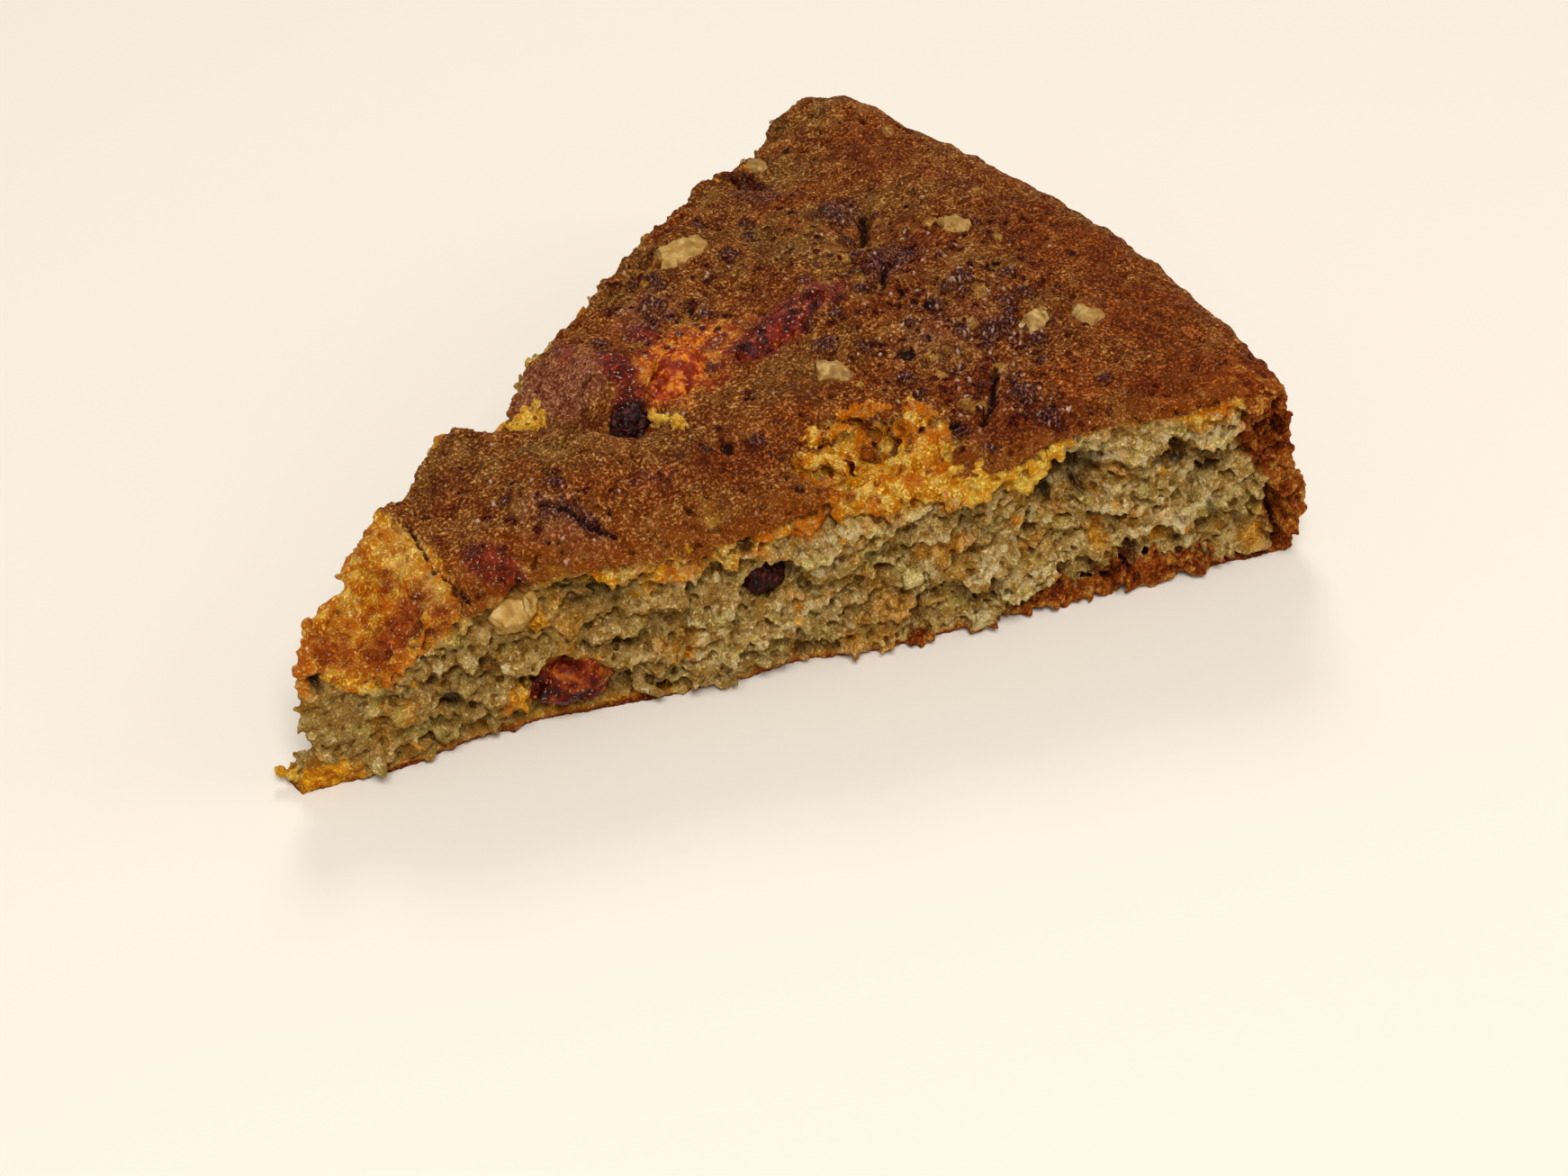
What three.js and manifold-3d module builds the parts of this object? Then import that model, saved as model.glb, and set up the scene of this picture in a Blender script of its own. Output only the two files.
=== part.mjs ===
// A slice of carrot cake: an eighth of a round cake, browned on top, round the rim and under the base,
// with chopped nuts and dried fruit lying in the crust and in the cut. Millimetres, Z up.
//
// The shapes are laid out from the middle of the round cake, which is the tip of the slice. X runs from
// the tip along the middle of the slice to the rim, and Y across it, with the front cut on the -Y side.
// At the end the whole slice moves so that the middle of its box, at the base, is the origin.
import * as THREE from "three";
import { mergeVertices } from "three/addons/utils/BufferGeometryUtils.js";
import { ImprovedNoise } from "three/addons/math/ImprovedNoise.js";
import Module from "manifold-3d";

const wasm = await Module();
wasm.setup();

// Driving dimensions
const cakeRadius = 129.5; // tip to the foot of the rim wall
const sliceAngle = 43; // degrees between the two cuts
const tipRadius = 3; // where the blunt tip starts
const tipReach = 1.7; // the blunt tip leans this far past its start
const tipSharpness = 14; // powers of the way to the tip: how close to it the lean and the foot begin
const footSharpness = 30;
// The torn foot of the tip: how far it reaches along X and Y, how much wider it gets, and its height
const tipFoot = { x: -3.2, y: 1.9, spread: 1.9, height: 2.6 };
const rimFlare = 1.6; // the tin's wall leans out this much towards the base
const rimRound = 7; // the top edge of the rim rolls over within this distance
const rimDrop = 1.9; // how far the roll takes the edge down and in
const rimLump = 8; // size of the lumps in the rim wall
const rimDepth = 0.5;
const fitGap = 0.35; // clearance round each nut and each piece of fruit
const crustEdge = 0.5; // the crust stands out this far past the crumb under it
const thinnest = 0.3; // no relief of a cut takes more than this share of the half width there

// Height of the crust above the base, as [distance from the tip, height], along both cuts and the middle.
const frontCrust = [[0, 18.5], [10, 17], [19, 21.6], [26, 23.6], [45, 22.9], [58, 24.2], [67, 26.6],
  [84, 26], [97, 27.8], [130, 29.2]];
const middleCrust = [[0, 19.5], [11, 20.6], [20, 26], [36, 28], [52, 27.4], [80, 28.4], [104, 28.6],
  [130, 28.2]];
const backCrust = [[0, 20.5], [11, 23], [20, 27.2], [34, 27.8], [46, 21.8], [56, 26.3], [80, 28.2],
  [106, 25.6], [130, 27.4]];

// Swellings and hollows of the crust: place, half lengths along and across, turn in degrees, height.
const crustForms = [
  { name: "front hump", x: 40, y: -2, along: 13, across: 9, turn: -35, height: 1.2 },
  { name: "valley behind the hump", x: 49, y: 8.5, along: 11, across: 2.6, turn: -52, height: -3 },
  { name: "dome over the valley", x: 54.5, y: 13.5, along: 8, across: 5.5, turn: -50, height: 2.2 },
  { name: "hollow of the raisin", x: 52.8, y: 2.6, along: 3.2, across: 2.8, turn: 0, height: -2.2 },
  { name: "sunken fruit", x: 62, y: 4.5, along: 8, across: 4.5, turn: 20, height: -0.9 },
  { name: "broken patch", x: 71, y: -19.6, along: 7.5, across: 3.6, turn: -20, height: -1.9 },
  { name: "pit in the patch", x: 70.6, y: -19.2, along: 2.4, across: 2, turn: 0, height: -1.6 },
  { name: "swelling at the middle", x: 92, y: -3, along: 18, across: 14, turn: 0, height: 0.9 },
  { name: "sunken crack", x: 98, y: 12, along: 7, across: 2.2, turn: 40, height: -0.8 },
];

// Swellings and hollows of the two cuts: distance from the tip, height, half sizes, depth (+ stands out).
const frontForms = [
  { name: "hollow under the crust", along: 98.5, height: 19.6, length: 5, rise: 3.6, depth: -5 },
  { name: "hanging lip of crust", along: 87, height: 25, length: 7, rise: 2.6, depth: 1.6 },
  { name: "hollow behind the nut", along: 35, height: 18.5, length: 5, rise: 4, depth: -1.8 },
  { name: "undercut near the tip", along: 22, height: 15, length: 6, rise: 3.4, depth: -1.1 },
  { name: "hollow by the low fruit", along: 42, height: 3, length: 7, rise: 3, depth: -1.7 },
  { name: "belly of the crumb", along: 66, height: 12, length: 14, rise: 8, depth: 1.1 },
  { name: "hollow beside the rim", along: 112, height: 19, length: 5, rise: 3, depth: -1.2 },
  { name: "foot of the tip stands out", along: 9, height: 0.6, length: 7, rise: 3, depth: 1 },
  { name: "foot drawn in behind the tip", along: 29, height: 0, length: 7, rise: 4, depth: -1.3 },
  { name: "base crust stands out, middle", along: 76, height: 0.6, length: 5, rise: 2, depth: 0.8 },
  { name: "foot drawn in towards the rim", along: 104, height: 0, length: 8, rise: 5, depth: -2.6 },
  { name: "base crust stands out, rim", along: 120, height: 0.6, length: 5, rise: 2.4, depth: 0.8 },
];
const backForms = [
  { name: "hollow in the far cut", along: 74, height: 16, length: 7, rise: 5, depth: -2 },
  { name: "swelling of the far cut", along: 98, height: 11, length: 11, rise: 7, depth: 1.2 },
  { name: "hollow low in the far cut", along: 50, height: 7, length: 6, rise: 4, depth: -1.6 },
  { name: "far base crust stands out", along: 104, height: 0.6, length: 13, rise: 2.2, depth: 1.6 },
  { name: "far cut drawn in at the rim", along: 136, height: 18, length: 15, rise: 30, depth: -5 },
];
// Crumbs baked onto the rim wall, by angle in degrees from the middle of the slice.
const rimForms = [
  { name: "baked crumb by the front cut", angle: -20.5, height: 8.5, width: 3.6, rise: 4.6, depth: 4.4 },
  { name: "baked crumb at the back", angle: 9, height: 17, width: 4, rise: 4, depth: 1 },
  { name: "dent in the rim", angle: -4, height: 12, width: 6, rise: 6, depth: -0.9 },
  { name: "fuller wall at the back", angle: 20, height: 20, width: 24, rise: 22, depth: 3.6 },
  { name: "wall drawn in at the front", angle: -19, height: 26, width: 14, rise: 12, depth: -1.2 },
];

const crumbLump = 9; // size of the lumps in the cuts
const crumbDepth = 0.75; // how deep they are
const ledgePitch = 6.5; // spacing of the torn ledges, which rise towards the rim
const ledgeDepth = 0.7;
const ledgeSlope = 0.2;
const ledgeWander = 0.6; // how much of a ledge's spacing its line strays
const crustLump = 13; // size of the swells of the crust
const crustDepth = 0.45;
const noiseGain = 1.6; // brings the noise to about -1 to 1
const backShift = 60; // moves the noise of the back cut on, so that the two cuts differ
const lattice = { along: 46, across: 26, up: 11 };

// Nuts and fruit: where each lies, its half sizes, its turn about Z, its tip over and its random draw.
const pieces = [
  { name: "nut_front_edge", kind: "nut", at: [25.6, -9.3, 20.2], size: [2.7, 2.2, 3.1], turn: -22, tip: 12, seed: 3 },
  { name: "nut_sliver_back", kind: "nut", at: [76.6, 24.4, 28.3], size: [5.8, 2.3, 1.4], turn: 2, tip: -4, seed: 11 },
  { name: "nut_chip_middle", kind: "nut", at: [75.4, -8.2, 28.5], size: [3.1, 2, 1.3], turn: -38, tip: 5, seed: 5 },
  { name: "nut_chip_rim", kind: "nut", at: [107.8, -20.6, 28.8], size: [2.5, 1.9, 1.2], turn: 70, tip: 0, seed: 7 },
  { name: "nut_chip_right", kind: "nut", at: [102.2, -17, 28.8], size: [3, 1.6, 1.1], turn: 10, tip: 4, seed: 13 },
  { name: "nut_chip_back", kind: "nut", at: [108.9, 5.2, 29], size: [2.6, 1.7, 1.2], turn: -60, tip: 0, seed: 17 },
  { name: "nut_chip_far", kind: "nut", at: [101.2, 36.4, 26.1], size: [2.1, 1.5, 1], turn: 30, tip: 0, seed: 19 },
  { name: "raisin_top", kind: "raisin", at: [52.8, 3.6, 25], size: [2.6, 2.3, 2], turn: 20, tip: 0, seed: 2 },
  { name: "raisin_cut", kind: "raisin", at: [53.8, -20.6, 15.6], size: [2.5, 1.9, 2.1], turn: -22, tip: 0, seed: 9 },
  { name: "fruit_cut", kind: "fruit", at: [31.4, -11.3, 6.2], size: [5.2, 2.4, 3], turn: -21, tip: 8, seed: 4 },
  { name: "fruit_top", kind: "fruit", at: [61.6, 5.4, 26.4], size: [4.8, 3.1, 1.5], turn: 25, tip: -6, seed: 6 },
  { name: "fruit_strip_top", kind: "fruit", at: [77.4, 3.2, 28.4], size: [8.6, 1.9, 1.2], turn: 7, tip: -3, seed: 8 },
];
// How each kind is faceted, how many flat breaks it has and how far out, and how wrinkled it is.
const pieceKinds = {
  nut: { detail: 2, breaks: 5, breakAt: 0.72, wrinkle: 0.05, wrinkleSize: 0.9 },
  raisin: { detail: 2, breaks: 0, breakAt: 1, wrinkle: 0.2, wrinkleSize: 0.55 },
  fruit: { detail: 2, breaks: 3, breakAt: 0.86, wrinkle: 0.14, wrinkleSize: 0.7 },
};

const materials = {
  cake: new THREE.MeshStandardMaterial({ name: "cake", color: "#8f6a35", roughness: 0.85, metalness: 0 }),
  nut: new THREE.MeshStandardMaterial({ name: "nut", color: "#cdb478", roughness: 0.55, metalness: 0 }),
  raisin: new THREE.MeshStandardMaterial({ name: "raisin", color: "#2c1a1c", roughness: 0.45, metalness: 0 }),
  fruit: new THREE.MeshStandardMaterial({ name: "fruit", color: "#a8481a", roughness: 0.3, metalness: 0 }),
};

const perlin = new ImprovedNoise();
const halfAngle = THREE.MathUtils.degToRad(sliceAngle / 2);
const degrees = THREE.MathUtils.degToRad;

// Noise of lumps about one `size` across, between -1 and 1.
function lumps(x, y, z, size) {
  return noiseGain * perlin.noise(x / size + 31.7, y / size + 17.3, z / size + 5.9);
}

// A soft hump of height 1 in the middle, which is gone at about twice its half sizes.
function hump(a, b) {
  return Math.exp(-(a * a + b * b));
}

// Smooth curve through [place, value] pairs.
function follow(pairs, place) {
  const last = pairs.length - 1;
  if (place <= pairs[0][0]) return pairs[0][1];
  if (place >= pairs[last][0]) return pairs[last][1];
  let i = 0;
  while (place > pairs[i + 1][0]) i += 1;
  const share = (place - pairs[i][0]) / (pairs[i + 1][0] - pairs[i][0]);
  return THREE.MathUtils.lerp(pairs[i][1], pairs[i + 1][1], share * share * (3 - 2 * share));
}

// Height of the browned top at a point given by its distance from the tip and its share of the angle.
function crustHeight(radius, side, x, y) {
  const edge = side < 0 ? follow(frontCrust, radius) : follow(backCrust, radius);
  const middle = follow(middleCrust, radius);
  let height = THREE.MathUtils.lerp(middle, edge, side * side);
  for (const form of crustForms) {
    const turn = degrees(form.turn);
    const dx = x - form.x;
    const dy = y - form.y;
    const along = (dx * Math.cos(turn) + dy * Math.sin(turn)) / form.along;
    const across = (dy * Math.cos(turn) - dx * Math.sin(turn)) / form.across;
    height += form.height * hump(along, across);
  }
  return height + crustDepth * lumps(x, y, 0, crustLump);
}

// How far a cut stands out at a point of it: its named forms, torn ledges and lumps.
function cutRelief(forms, along, height, shift) {
  let relief = 0;
  for (const form of forms) {
    relief += form.depth * hump((along - form.along) / form.length, (height - form.height) / form.rise);
  }
  const wander = lumps(along, height, shift, crumbLump * 1.5);
  const ledge = (height - ledgeSlope * along) / ledgePitch + ledgeWander * wander + shift;
  relief += ledgeDepth * (ledge - Math.floor(ledge) - 0.5);
  relief += crumbDepth * lumps(along, height, shift + ledgePitch, crumbLump);
  return relief;
}

// How far the rim wall stands out at a point of it.
function rimRelief(angle, height) {
  let relief = rimDepth * lumps(angle * cakeRadius, height, 0, rimLump);
  for (const form of rimForms) {
    const across = ((angle - degrees(form.angle)) * cakeRadius) / form.width;
    relief += form.depth * hump(across, (height - form.height) / form.rise);
  }
  return relief;
}

// Takes a point of the unit box (u from tip to rim, v from front cut to back cut, w from base to crust)
// to its place on the slice.
function placeOnSlice(u, v, w) {
  const radius = THREE.MathUtils.lerp(tipRadius, cakeRadius, u);
  const angle = v * halfAngle;
  const flatX = radius * Math.cos(angle);
  const flatY = radius * Math.sin(angle);
  const roll = THREE.MathUtils.smoothstep(radius, cakeRadius - rimRound, cakeRadius + 1);
  const top = crustHeight(radius, v, flatX, flatY) - rimDrop * roll * roll;
  const z = w * top;

  // The rim: the wall leans out to the base, and its top edge rolls in.
  const atRim = THREE.MathUtils.smoothstep(u, 0.9, 1);
  const rollIn = rimDrop * THREE.MathUtils.smoothstep(w, 0.78, 1.02);
  const rimShift = atRim * (rimRelief(angle, z) * (1 - 0.7 * w) - rimFlare * w - rollIn);
  // The tip: blunt, leaning out, with a torn foot.
  const foot = hump(z / tipFoot.height, 0) * (1 - u) ** footSharpness;
  const reach = radius + rimShift - tipReach * (1 - u) ** tipSharpness;

  // The cuts: their relief fades towards the middle of the slice, and where the slice is thin.
  const forms = v < 0 ? frontForms : backForms;
  const halfWidth = radius * Math.sin(halfAngle);
  const edge = crustEdge * THREE.MathUtils.smoothstep(w, 0.86, 0.98);
  const limit = halfWidth * thinnest;
  const relief = cutRelief(forms, radius, z, v < 0 ? 0 : backShift) + edge;
  const shift = THREE.MathUtils.clamp(relief, -limit, limit) * Math.abs(v) ** 3;
  const outX = tipFoot.x * foot - Math.sin(halfAngle) * shift;
  const outY = (tipFoot.y + v * tipFoot.spread) * foot + Math.sign(v) * Math.cos(halfAngle) * shift;
  return [reach * Math.cos(angle) + outX, reach * Math.sin(angle) + outY, z];
}

// Keeps only the positions of a geometry and joins the vertices that share a place.
function weld(geometry) {
  geometry.deleteAttribute("normal");
  geometry.deleteAttribute("uv");
  return mergeVertices(geometry, 1e-4);
}

function toSolid(geometry) {
  const vertProperties = new Float32Array(geometry.attributes.position.array);
  const triVerts = new Uint32Array(geometry.index.array);
  return new wasm.Manifold(new wasm.Mesh({ numProp: 3, vertProperties, triVerts }));
}

function toGeometry(solid) {
  const mesh = solid.getMesh();
  const geometry = new THREE.BufferGeometry();
  geometry.setAttribute("position", new THREE.BufferAttribute(mesh.vertProperties, 3));
  geometry.setIndex(new THREE.BufferAttribute(mesh.triVerts, 1));
  return geometry;
}

function makeWedge() {
  const box = weld(new THREE.BoxGeometry(1, 1, 1, lattice.along, lattice.across, lattice.up));
  const position = box.attributes.position;
  for (let i = 0; i < position.count; i += 1) {
    const u = position.getX(i) + 0.5;
    const v = position.getY(i) * 2;
    const w = position.getZ(i) + 0.5;
    position.setXYZ(i, ...placeOnSlice(u, v, w));
  }
  return box;
}

// Random numbers between 0 and 1 that are the same on each run.
function draws(seed) {
  let state = seed * 7919 + 17;
  return () => {
    state = (state * 16807) % 2147483647;
    return state / 2147483647;
  };
}

// A nut chunk, raisin or piece of fruit: a wrinkled ball with flat breaks, stretched to its size.
function makePiece(piece, grow) {
  const kind = pieceKinds[piece.kind];
  const draw = draws(piece.seed);
  const breaks = [];
  for (let i = 0; i < kind.breaks; i += 1) {
    breaks.push(new THREE.Vector3(draw() - 0.5, draw() - 0.5, draw() - 0.5).normalize());
  }
  const ball = weld(new THREE.IcosahedronGeometry(1, kind.detail));
  const position = ball.attributes.position;
  const point = new THREE.Vector3();
  for (let i = 0; i < position.count; i += 1) {
    point.fromBufferAttribute(position, i);
    const wrinkle = lumps(point.x + piece.seed, point.y, point.z, kind.wrinkleSize);
    point.multiplyScalar(1 + kind.wrinkle * wrinkle);
    for (const normal of breaks) {
      const past = point.dot(normal) - kind.breakAt;
      if (past > 0) point.addScaledVector(normal, -past * 0.9);
    }
    point.multiply(new THREE.Vector3(...piece.size));
    position.setXYZ(i, point.x, point.y, point.z);
  }
  ball.computeVertexNormals();
  const normal = ball.attributes.normal;
  for (let i = 0; i < position.count; i += 1) {
    position.setXYZ(
      i,
      position.getX(i) + grow * normal.getX(i),
      position.getY(i) + grow * normal.getY(i),
      position.getZ(i) + grow * normal.getZ(i),
    );
  }
  ball.deleteAttribute("normal");
  ball.rotateY(degrees(piece.tip));
  ball.rotateZ(degrees(piece.turn));
  ball.translate(...piece.at);
  return ball;
}

function namedMesh(name, geometry, material) {
  const mesh = new THREE.Mesh(geometry, material);
  mesh.name = name;
  return mesh;
}

const slice = new THREE.Group();
let cake = toSolid(makeWedge());
for (const piece of pieces) {
  cake = cake.subtract(toSolid(makePiece(piece, fitGap)));
  slice.add(namedMesh(piece.name, makePiece(piece, 0), materials[piece.kind]));
}
slice.add(namedMesh("cake_slice", toGeometry(cake), materials.cake));

const bounds = new THREE.Box3().setFromObject(slice);
const middle = bounds.getCenter(new THREE.Vector3());
slice.position.set(-middle.x, -middle.y, -bounds.min.z);

const group = new THREE.Group();
group.add(slice);

export default group;
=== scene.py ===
import math

import bmesh
import bpy
import numpy as np
from mathutils import Matrix, Vector, noise
from mathutils.bvhtree import BVHTree
from mathutils.kdtree import KDTree


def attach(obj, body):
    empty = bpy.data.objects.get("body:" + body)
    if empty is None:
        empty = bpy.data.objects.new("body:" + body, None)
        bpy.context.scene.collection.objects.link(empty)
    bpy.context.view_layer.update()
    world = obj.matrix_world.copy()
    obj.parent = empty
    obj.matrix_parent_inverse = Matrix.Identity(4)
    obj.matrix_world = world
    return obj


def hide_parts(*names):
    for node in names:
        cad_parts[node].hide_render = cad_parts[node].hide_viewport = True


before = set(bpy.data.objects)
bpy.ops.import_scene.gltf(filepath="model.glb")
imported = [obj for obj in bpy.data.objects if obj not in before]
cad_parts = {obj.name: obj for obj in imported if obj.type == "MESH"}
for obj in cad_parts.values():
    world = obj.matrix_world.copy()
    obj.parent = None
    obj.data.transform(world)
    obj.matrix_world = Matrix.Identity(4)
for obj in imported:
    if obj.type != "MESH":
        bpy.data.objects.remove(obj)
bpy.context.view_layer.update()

# Places are in millimetres from the tip of the slice: X to the rim along its middle, Y across it,
# with the front cut on the -Y side. This is where that tip lies in the frame.
tipPlace = np.array((-63.811986565589905, 1.4035053253173828, 0.0))
mm = 0.001
halfAngle = math.radians(21.5)
sinHalf, cosHalf = math.sin(halfAngle), math.cos(halfAngle)
draw = np.random.default_rng(41)


def smooth(low, high, value):
    share = np.clip((value - low) / (high - low), 0, 1)
    return share * share * (3 - 2 * share)


def hump(*shares):
    return np.exp(-sum(s * s for s in shares))


# Fractal noise of lumps about one size across, roughly -1 to 1, at each point.
def lumps(points, size, octaves=2, seed=0, stretch=(1, 1, 1)):
    rows = (points / (size * np.array(stretch)) + 13.7 * seed).tolist()
    return np.array([noise.fractal(row, 0.9, 2.1, octaves) for row in rows]) if rows else np.zeros(0)


# Distance to the nearest cell point, in cell sizes.
def cells(points, size, seed=0, stretch=(1, 1, 1)):
    rows = (points / (size * np.array(stretch)) + 9.1 * seed).tolist()
    return np.array([noise.voronoi(row)[0][0] for row in rows])


def readPoints(mesh):
    points = np.empty(len(mesh.vertices) * 3)
    mesh.vertices.foreach_get("co", points)
    return points.reshape(-1, 3)


def writePoints(mesh, points):
    mesh.vertices.foreach_set("co", np.asarray(points, np.float32).ravel())
    mesh.update()


def readNormals(mesh):
    normals = np.empty(len(mesh.vertices) * 3)
    mesh.vertices.foreach_get("normal", normals)
    return normals.reshape(-1, 3)


# Stores a value for each vertex, under each name.
def writeShares(mesh, shares):
    for name, values in shares.items():
        held = mesh.attributes.new(name, "FLOAT", "POINT")
        held.data.foreach_set("value", np.asarray(values, np.float32))


def newObject(name, mesh):
    made = bpy.data.objects.new(name, mesh)
    bpy.context.scene.collection.objects.link(made)
    return made


# A CAD node's mesh as a new object, merged, in millimetres from the tip.
def copyOfNode(nodeName, name):
    mesh = bpy.data.meshes.new(name)
    form = bmesh.new()
    form.from_mesh(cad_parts[nodeName].data)
    bmesh.ops.remove_doubles(form, verts=form.verts, dist=1e-6)
    bmesh.ops.scale(form, vec=(1 / mm,) * 3, verts=form.verts)
    bmesh.ops.translate(form, vec=-tipPlace, verts=form.verts)
    bmesh.ops.recalc_face_normals(form, faces=form.faces)
    form.to_mesh(mesh)
    form.free()
    return newObject(name, mesh)


# Fuses everything in the object into one closed skin of even squares.
def fuse(target, size):
    change = target.modifiers.new("fuse", "REMESH")
    change.mode = "VOXEL"
    change.voxel_size = size
    change.use_smooth_shade = True
    graph = bpy.context.evaluated_depsgraph_get()
    made = bpy.data.meshes.new_from_object(target.evaluated_get(graph))
    target.modifiers.clear()
    target.data = made
    return made


# One mesh of many small shapes: each place takes one of the shapes, turned and stretched by its matrix.
def joinedShapes(name, shapes, picks, places, turns):
    points, corners = [], []
    start = 0
    for kind, shape in enumerate(shapes):
        chosen = np.flatnonzero(picks == kind)
        if not len(chosen):
            continue
        moved = np.einsum("nij,vj->nvi", turns[chosen], shape["points"]) + places[chosen][:, None]
        offsets = start + np.arange(len(chosen))[:, None, None] * len(shape["points"])
        corners.append((shape["corners"][None] + offsets).reshape(-1, 3))
        points.append(moved.reshape(-1, 3))
        start += len(chosen) * len(shape["points"])
    points, corners = np.concatenate(points), np.concatenate(corners)
    mesh = bpy.data.meshes.new(name)
    mesh.vertices.add(len(points))
    mesh.loops.add(corners.size)
    mesh.polygons.add(len(corners))
    mesh.loops.foreach_set("vertex_index", corners.ravel().astype(np.int32))
    mesh.polygons.foreach_set("loop_start", np.arange(0, corners.size, 3, dtype=np.int32))
    writePoints(mesh, points)
    mesh.validate()
    return mesh


# A rough ball as points and triangles, to be repeated many times.
def roughBall(detail, roughness, seed):
    form = bmesh.new()
    bmesh.ops.create_icosphere(form, subdivisions=detail, radius=1)
    points = np.array([v.co for v in form.verts])
    corners = np.array([[v.index for v in f.verts] for f in form.faces])
    form.free()
    return {"points": points * (1 + roughness * lumps(points, 0.9, 2, seed))[:, None], "corners": corners}


# Random turns as matrices, with each column scaled by its own size.
def randomTurns(sizes):
    quaternion = draw.normal(size=(len(sizes), 4))
    w, x, y, z = (quaternion / np.linalg.norm(quaternion, axis=1)[:, None]).T
    turns = np.array([
        [1 - 2 * (y * y + z * z), 2 * (x * y - z * w), 2 * (x * z + y * w)],
        [2 * (x * y + z * w), 1 - 2 * (x * x + z * z), 2 * (y * z - x * w)],
        [2 * (x * z - y * w), 2 * (y * z + x * w), 1 - 2 * (x * x + y * y)],
    ]).transpose(2, 0, 1)
    return turns * sizes[:, None, :]


# Turns whose third axis is the given direction, spun at random about it.
def turnsAlong(directions, sizes, tilt):
    third = directions + tilt * draw.normal(size=directions.shape)
    third /= np.linalg.norm(third, axis=1)[:, None]
    first = np.cross(third, draw.normal(size=third.shape))
    first /= np.linalg.norm(first, axis=1)[:, None]
    second = np.cross(third, first)
    return np.stack([first, second, third], axis=2) * sizes[:, None, :]


# Distances of points from the cuts and the tip, measured along the slice.
def sliceWays(points):
    x, y, z = points.T
    front = x * sinHalf + y * cosHalf
    back = x * sinHalf - y * cosHalf
    onFront = front < back
    along = np.where(onFront, x * cosHalf - y * sinHalf, x * cosHalf + y * sinHalf)
    return {
        "x": x, "y": y, "z": z, "front": front, "onFront": onFront, "along": along,
        "radius": np.hypot(x, y), "edge": np.minimum(front, back),
    }


# Distance from each point in a plane to a line through several places.
def lineDistance(a, b, line):
    nearest = np.full(len(a), 1e9)
    for (a0, b0), (a1, b1) in zip(line, line[1:]):
        da, db = a1 - a0, b1 - b0
        share = np.clip(((a - a0) * da + (b - b0) * db) / (da * da + db * db), 0, 1)
        nearest = np.minimum(nearest, np.hypot(a - a0 - share * da, b - b0 - share * db))
    return nearest


# The baked skins of the slice: the faces of the CAD's top, rim and base.
def skinTrees(mesh):
    points = readPoints(mesh)
    faces = [tuple(f.vertices) for f in mesh.polygons]
    whole = BVHTree.FromPolygons(points.tolist(), faces)
    centres = np.array([f.center for f in mesh.polygons])
    normals = np.array([f.normal for f in mesh.polygons])
    ways = sliceWays(centres)
    inside = np.maximum(0, 3 - ways["edge"])
    side = np.where(ways["onFront"], 1, -1)
    px = centres[:, 0] + inside * sinHalf
    py = centres[:, 1] + inside * cosHalf * side
    heights = np.full(len(centres), 99.0)
    for i in np.flatnonzero((normals[:, 2] > 0.3) & (centres[:, 2] > 15)):
        hit = whole.ray_cast((px[i], py[i], 60), (0, 0, -1))
        if hit[0] is not None:
            heights[i] = hit[0].z
    isTop = (normals[:, 2] > 0.3) & (centres[:, 2] > heights - 3.2)
    outward = (normals[:, 0] * centres[:, 0] + normals[:, 1] * centres[:, 1]) / ways["radius"]
    isRim = (ways["radius"] > 122) & (outward > 0.55) & ~isTop
    isBase = (normals[:, 2] < -0.75) & (centres[:, 2] < 0.7)
    trees = {}
    for name, chosen in (("top", isTop), ("rim", isRim), ("base", isBase)):
        trees[name] = BVHTree.FromPolygons(points.tolist(), [faces[i] for i in np.flatnonzero(chosen)])
    return trees


def skinDistances(trees, points):
    rows = points.tolist()
    found = {}
    for name, tree in trees.items():
        found[name] = np.array([tree.find_nearest(row)[3] for row in rows])
    return found


print("slice: first form")
sliceForm = {
    "firstVoxel": 0.42,  # squares of the first fuse
    "voxel": 0.26,  # squares of the last fuse
    "ledgeSlope": 0.21,  # torn layers: rise towards the rim, height of one, and how far it stands out
    "ledgePitch": 4.6,
    "ledgeDepth": 1.0,
    "plateReach": 7.5,  # large torn plates: length, thickness and depth
    "plateThick": 3.6,
    "plateDepth": 2.6,
    "chipReach": 2.9,  # small ones
    "chipThick": 1.5,
    "chipDepth": 0.85,
    "lumpDepth": 0.6,  # how far the crumb swells, and how deep its pores are
    "poreDepth": 0.8,
    "grains": 27000,  # grains over the crumb, and browned ones over the rim
    "bakedGrains": 4200,
    "flakes": 1100,
    "bigFlakes": 260,
    "tornLumps": 260,
    "shreds": 240,
    "tornEdge": 20.4,  # how far the torn place reaches from the tip
    "plugGrow": 0.45,  # the fill under a nut or fruit: how far it swells, and how deep it goes
    "plugSink": 1.8,
}
# The broken patch of crust at the front cut: distance from the tip, distance from the cut, half sizes.
brokenPatch = {"along": 74.0, "inside": 5.2, "length": 9.8, "width": 7.6}
brokenPit = {"along": 75.8, "inside": 8.5, "length": 3.3, "width": 2.1}
# The hump nearest the tip ends in a ridge with a dip behind it, and the far corner curls up.
humpRidge = {"x": 45.6, "y": 3.0, "turn": 41.1, "lift": 1.0, "dip": 2.3}
farCorner = {"x": 119.0, "y": 37.5, "reach": 6.0, "lift": 2.1}
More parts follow.
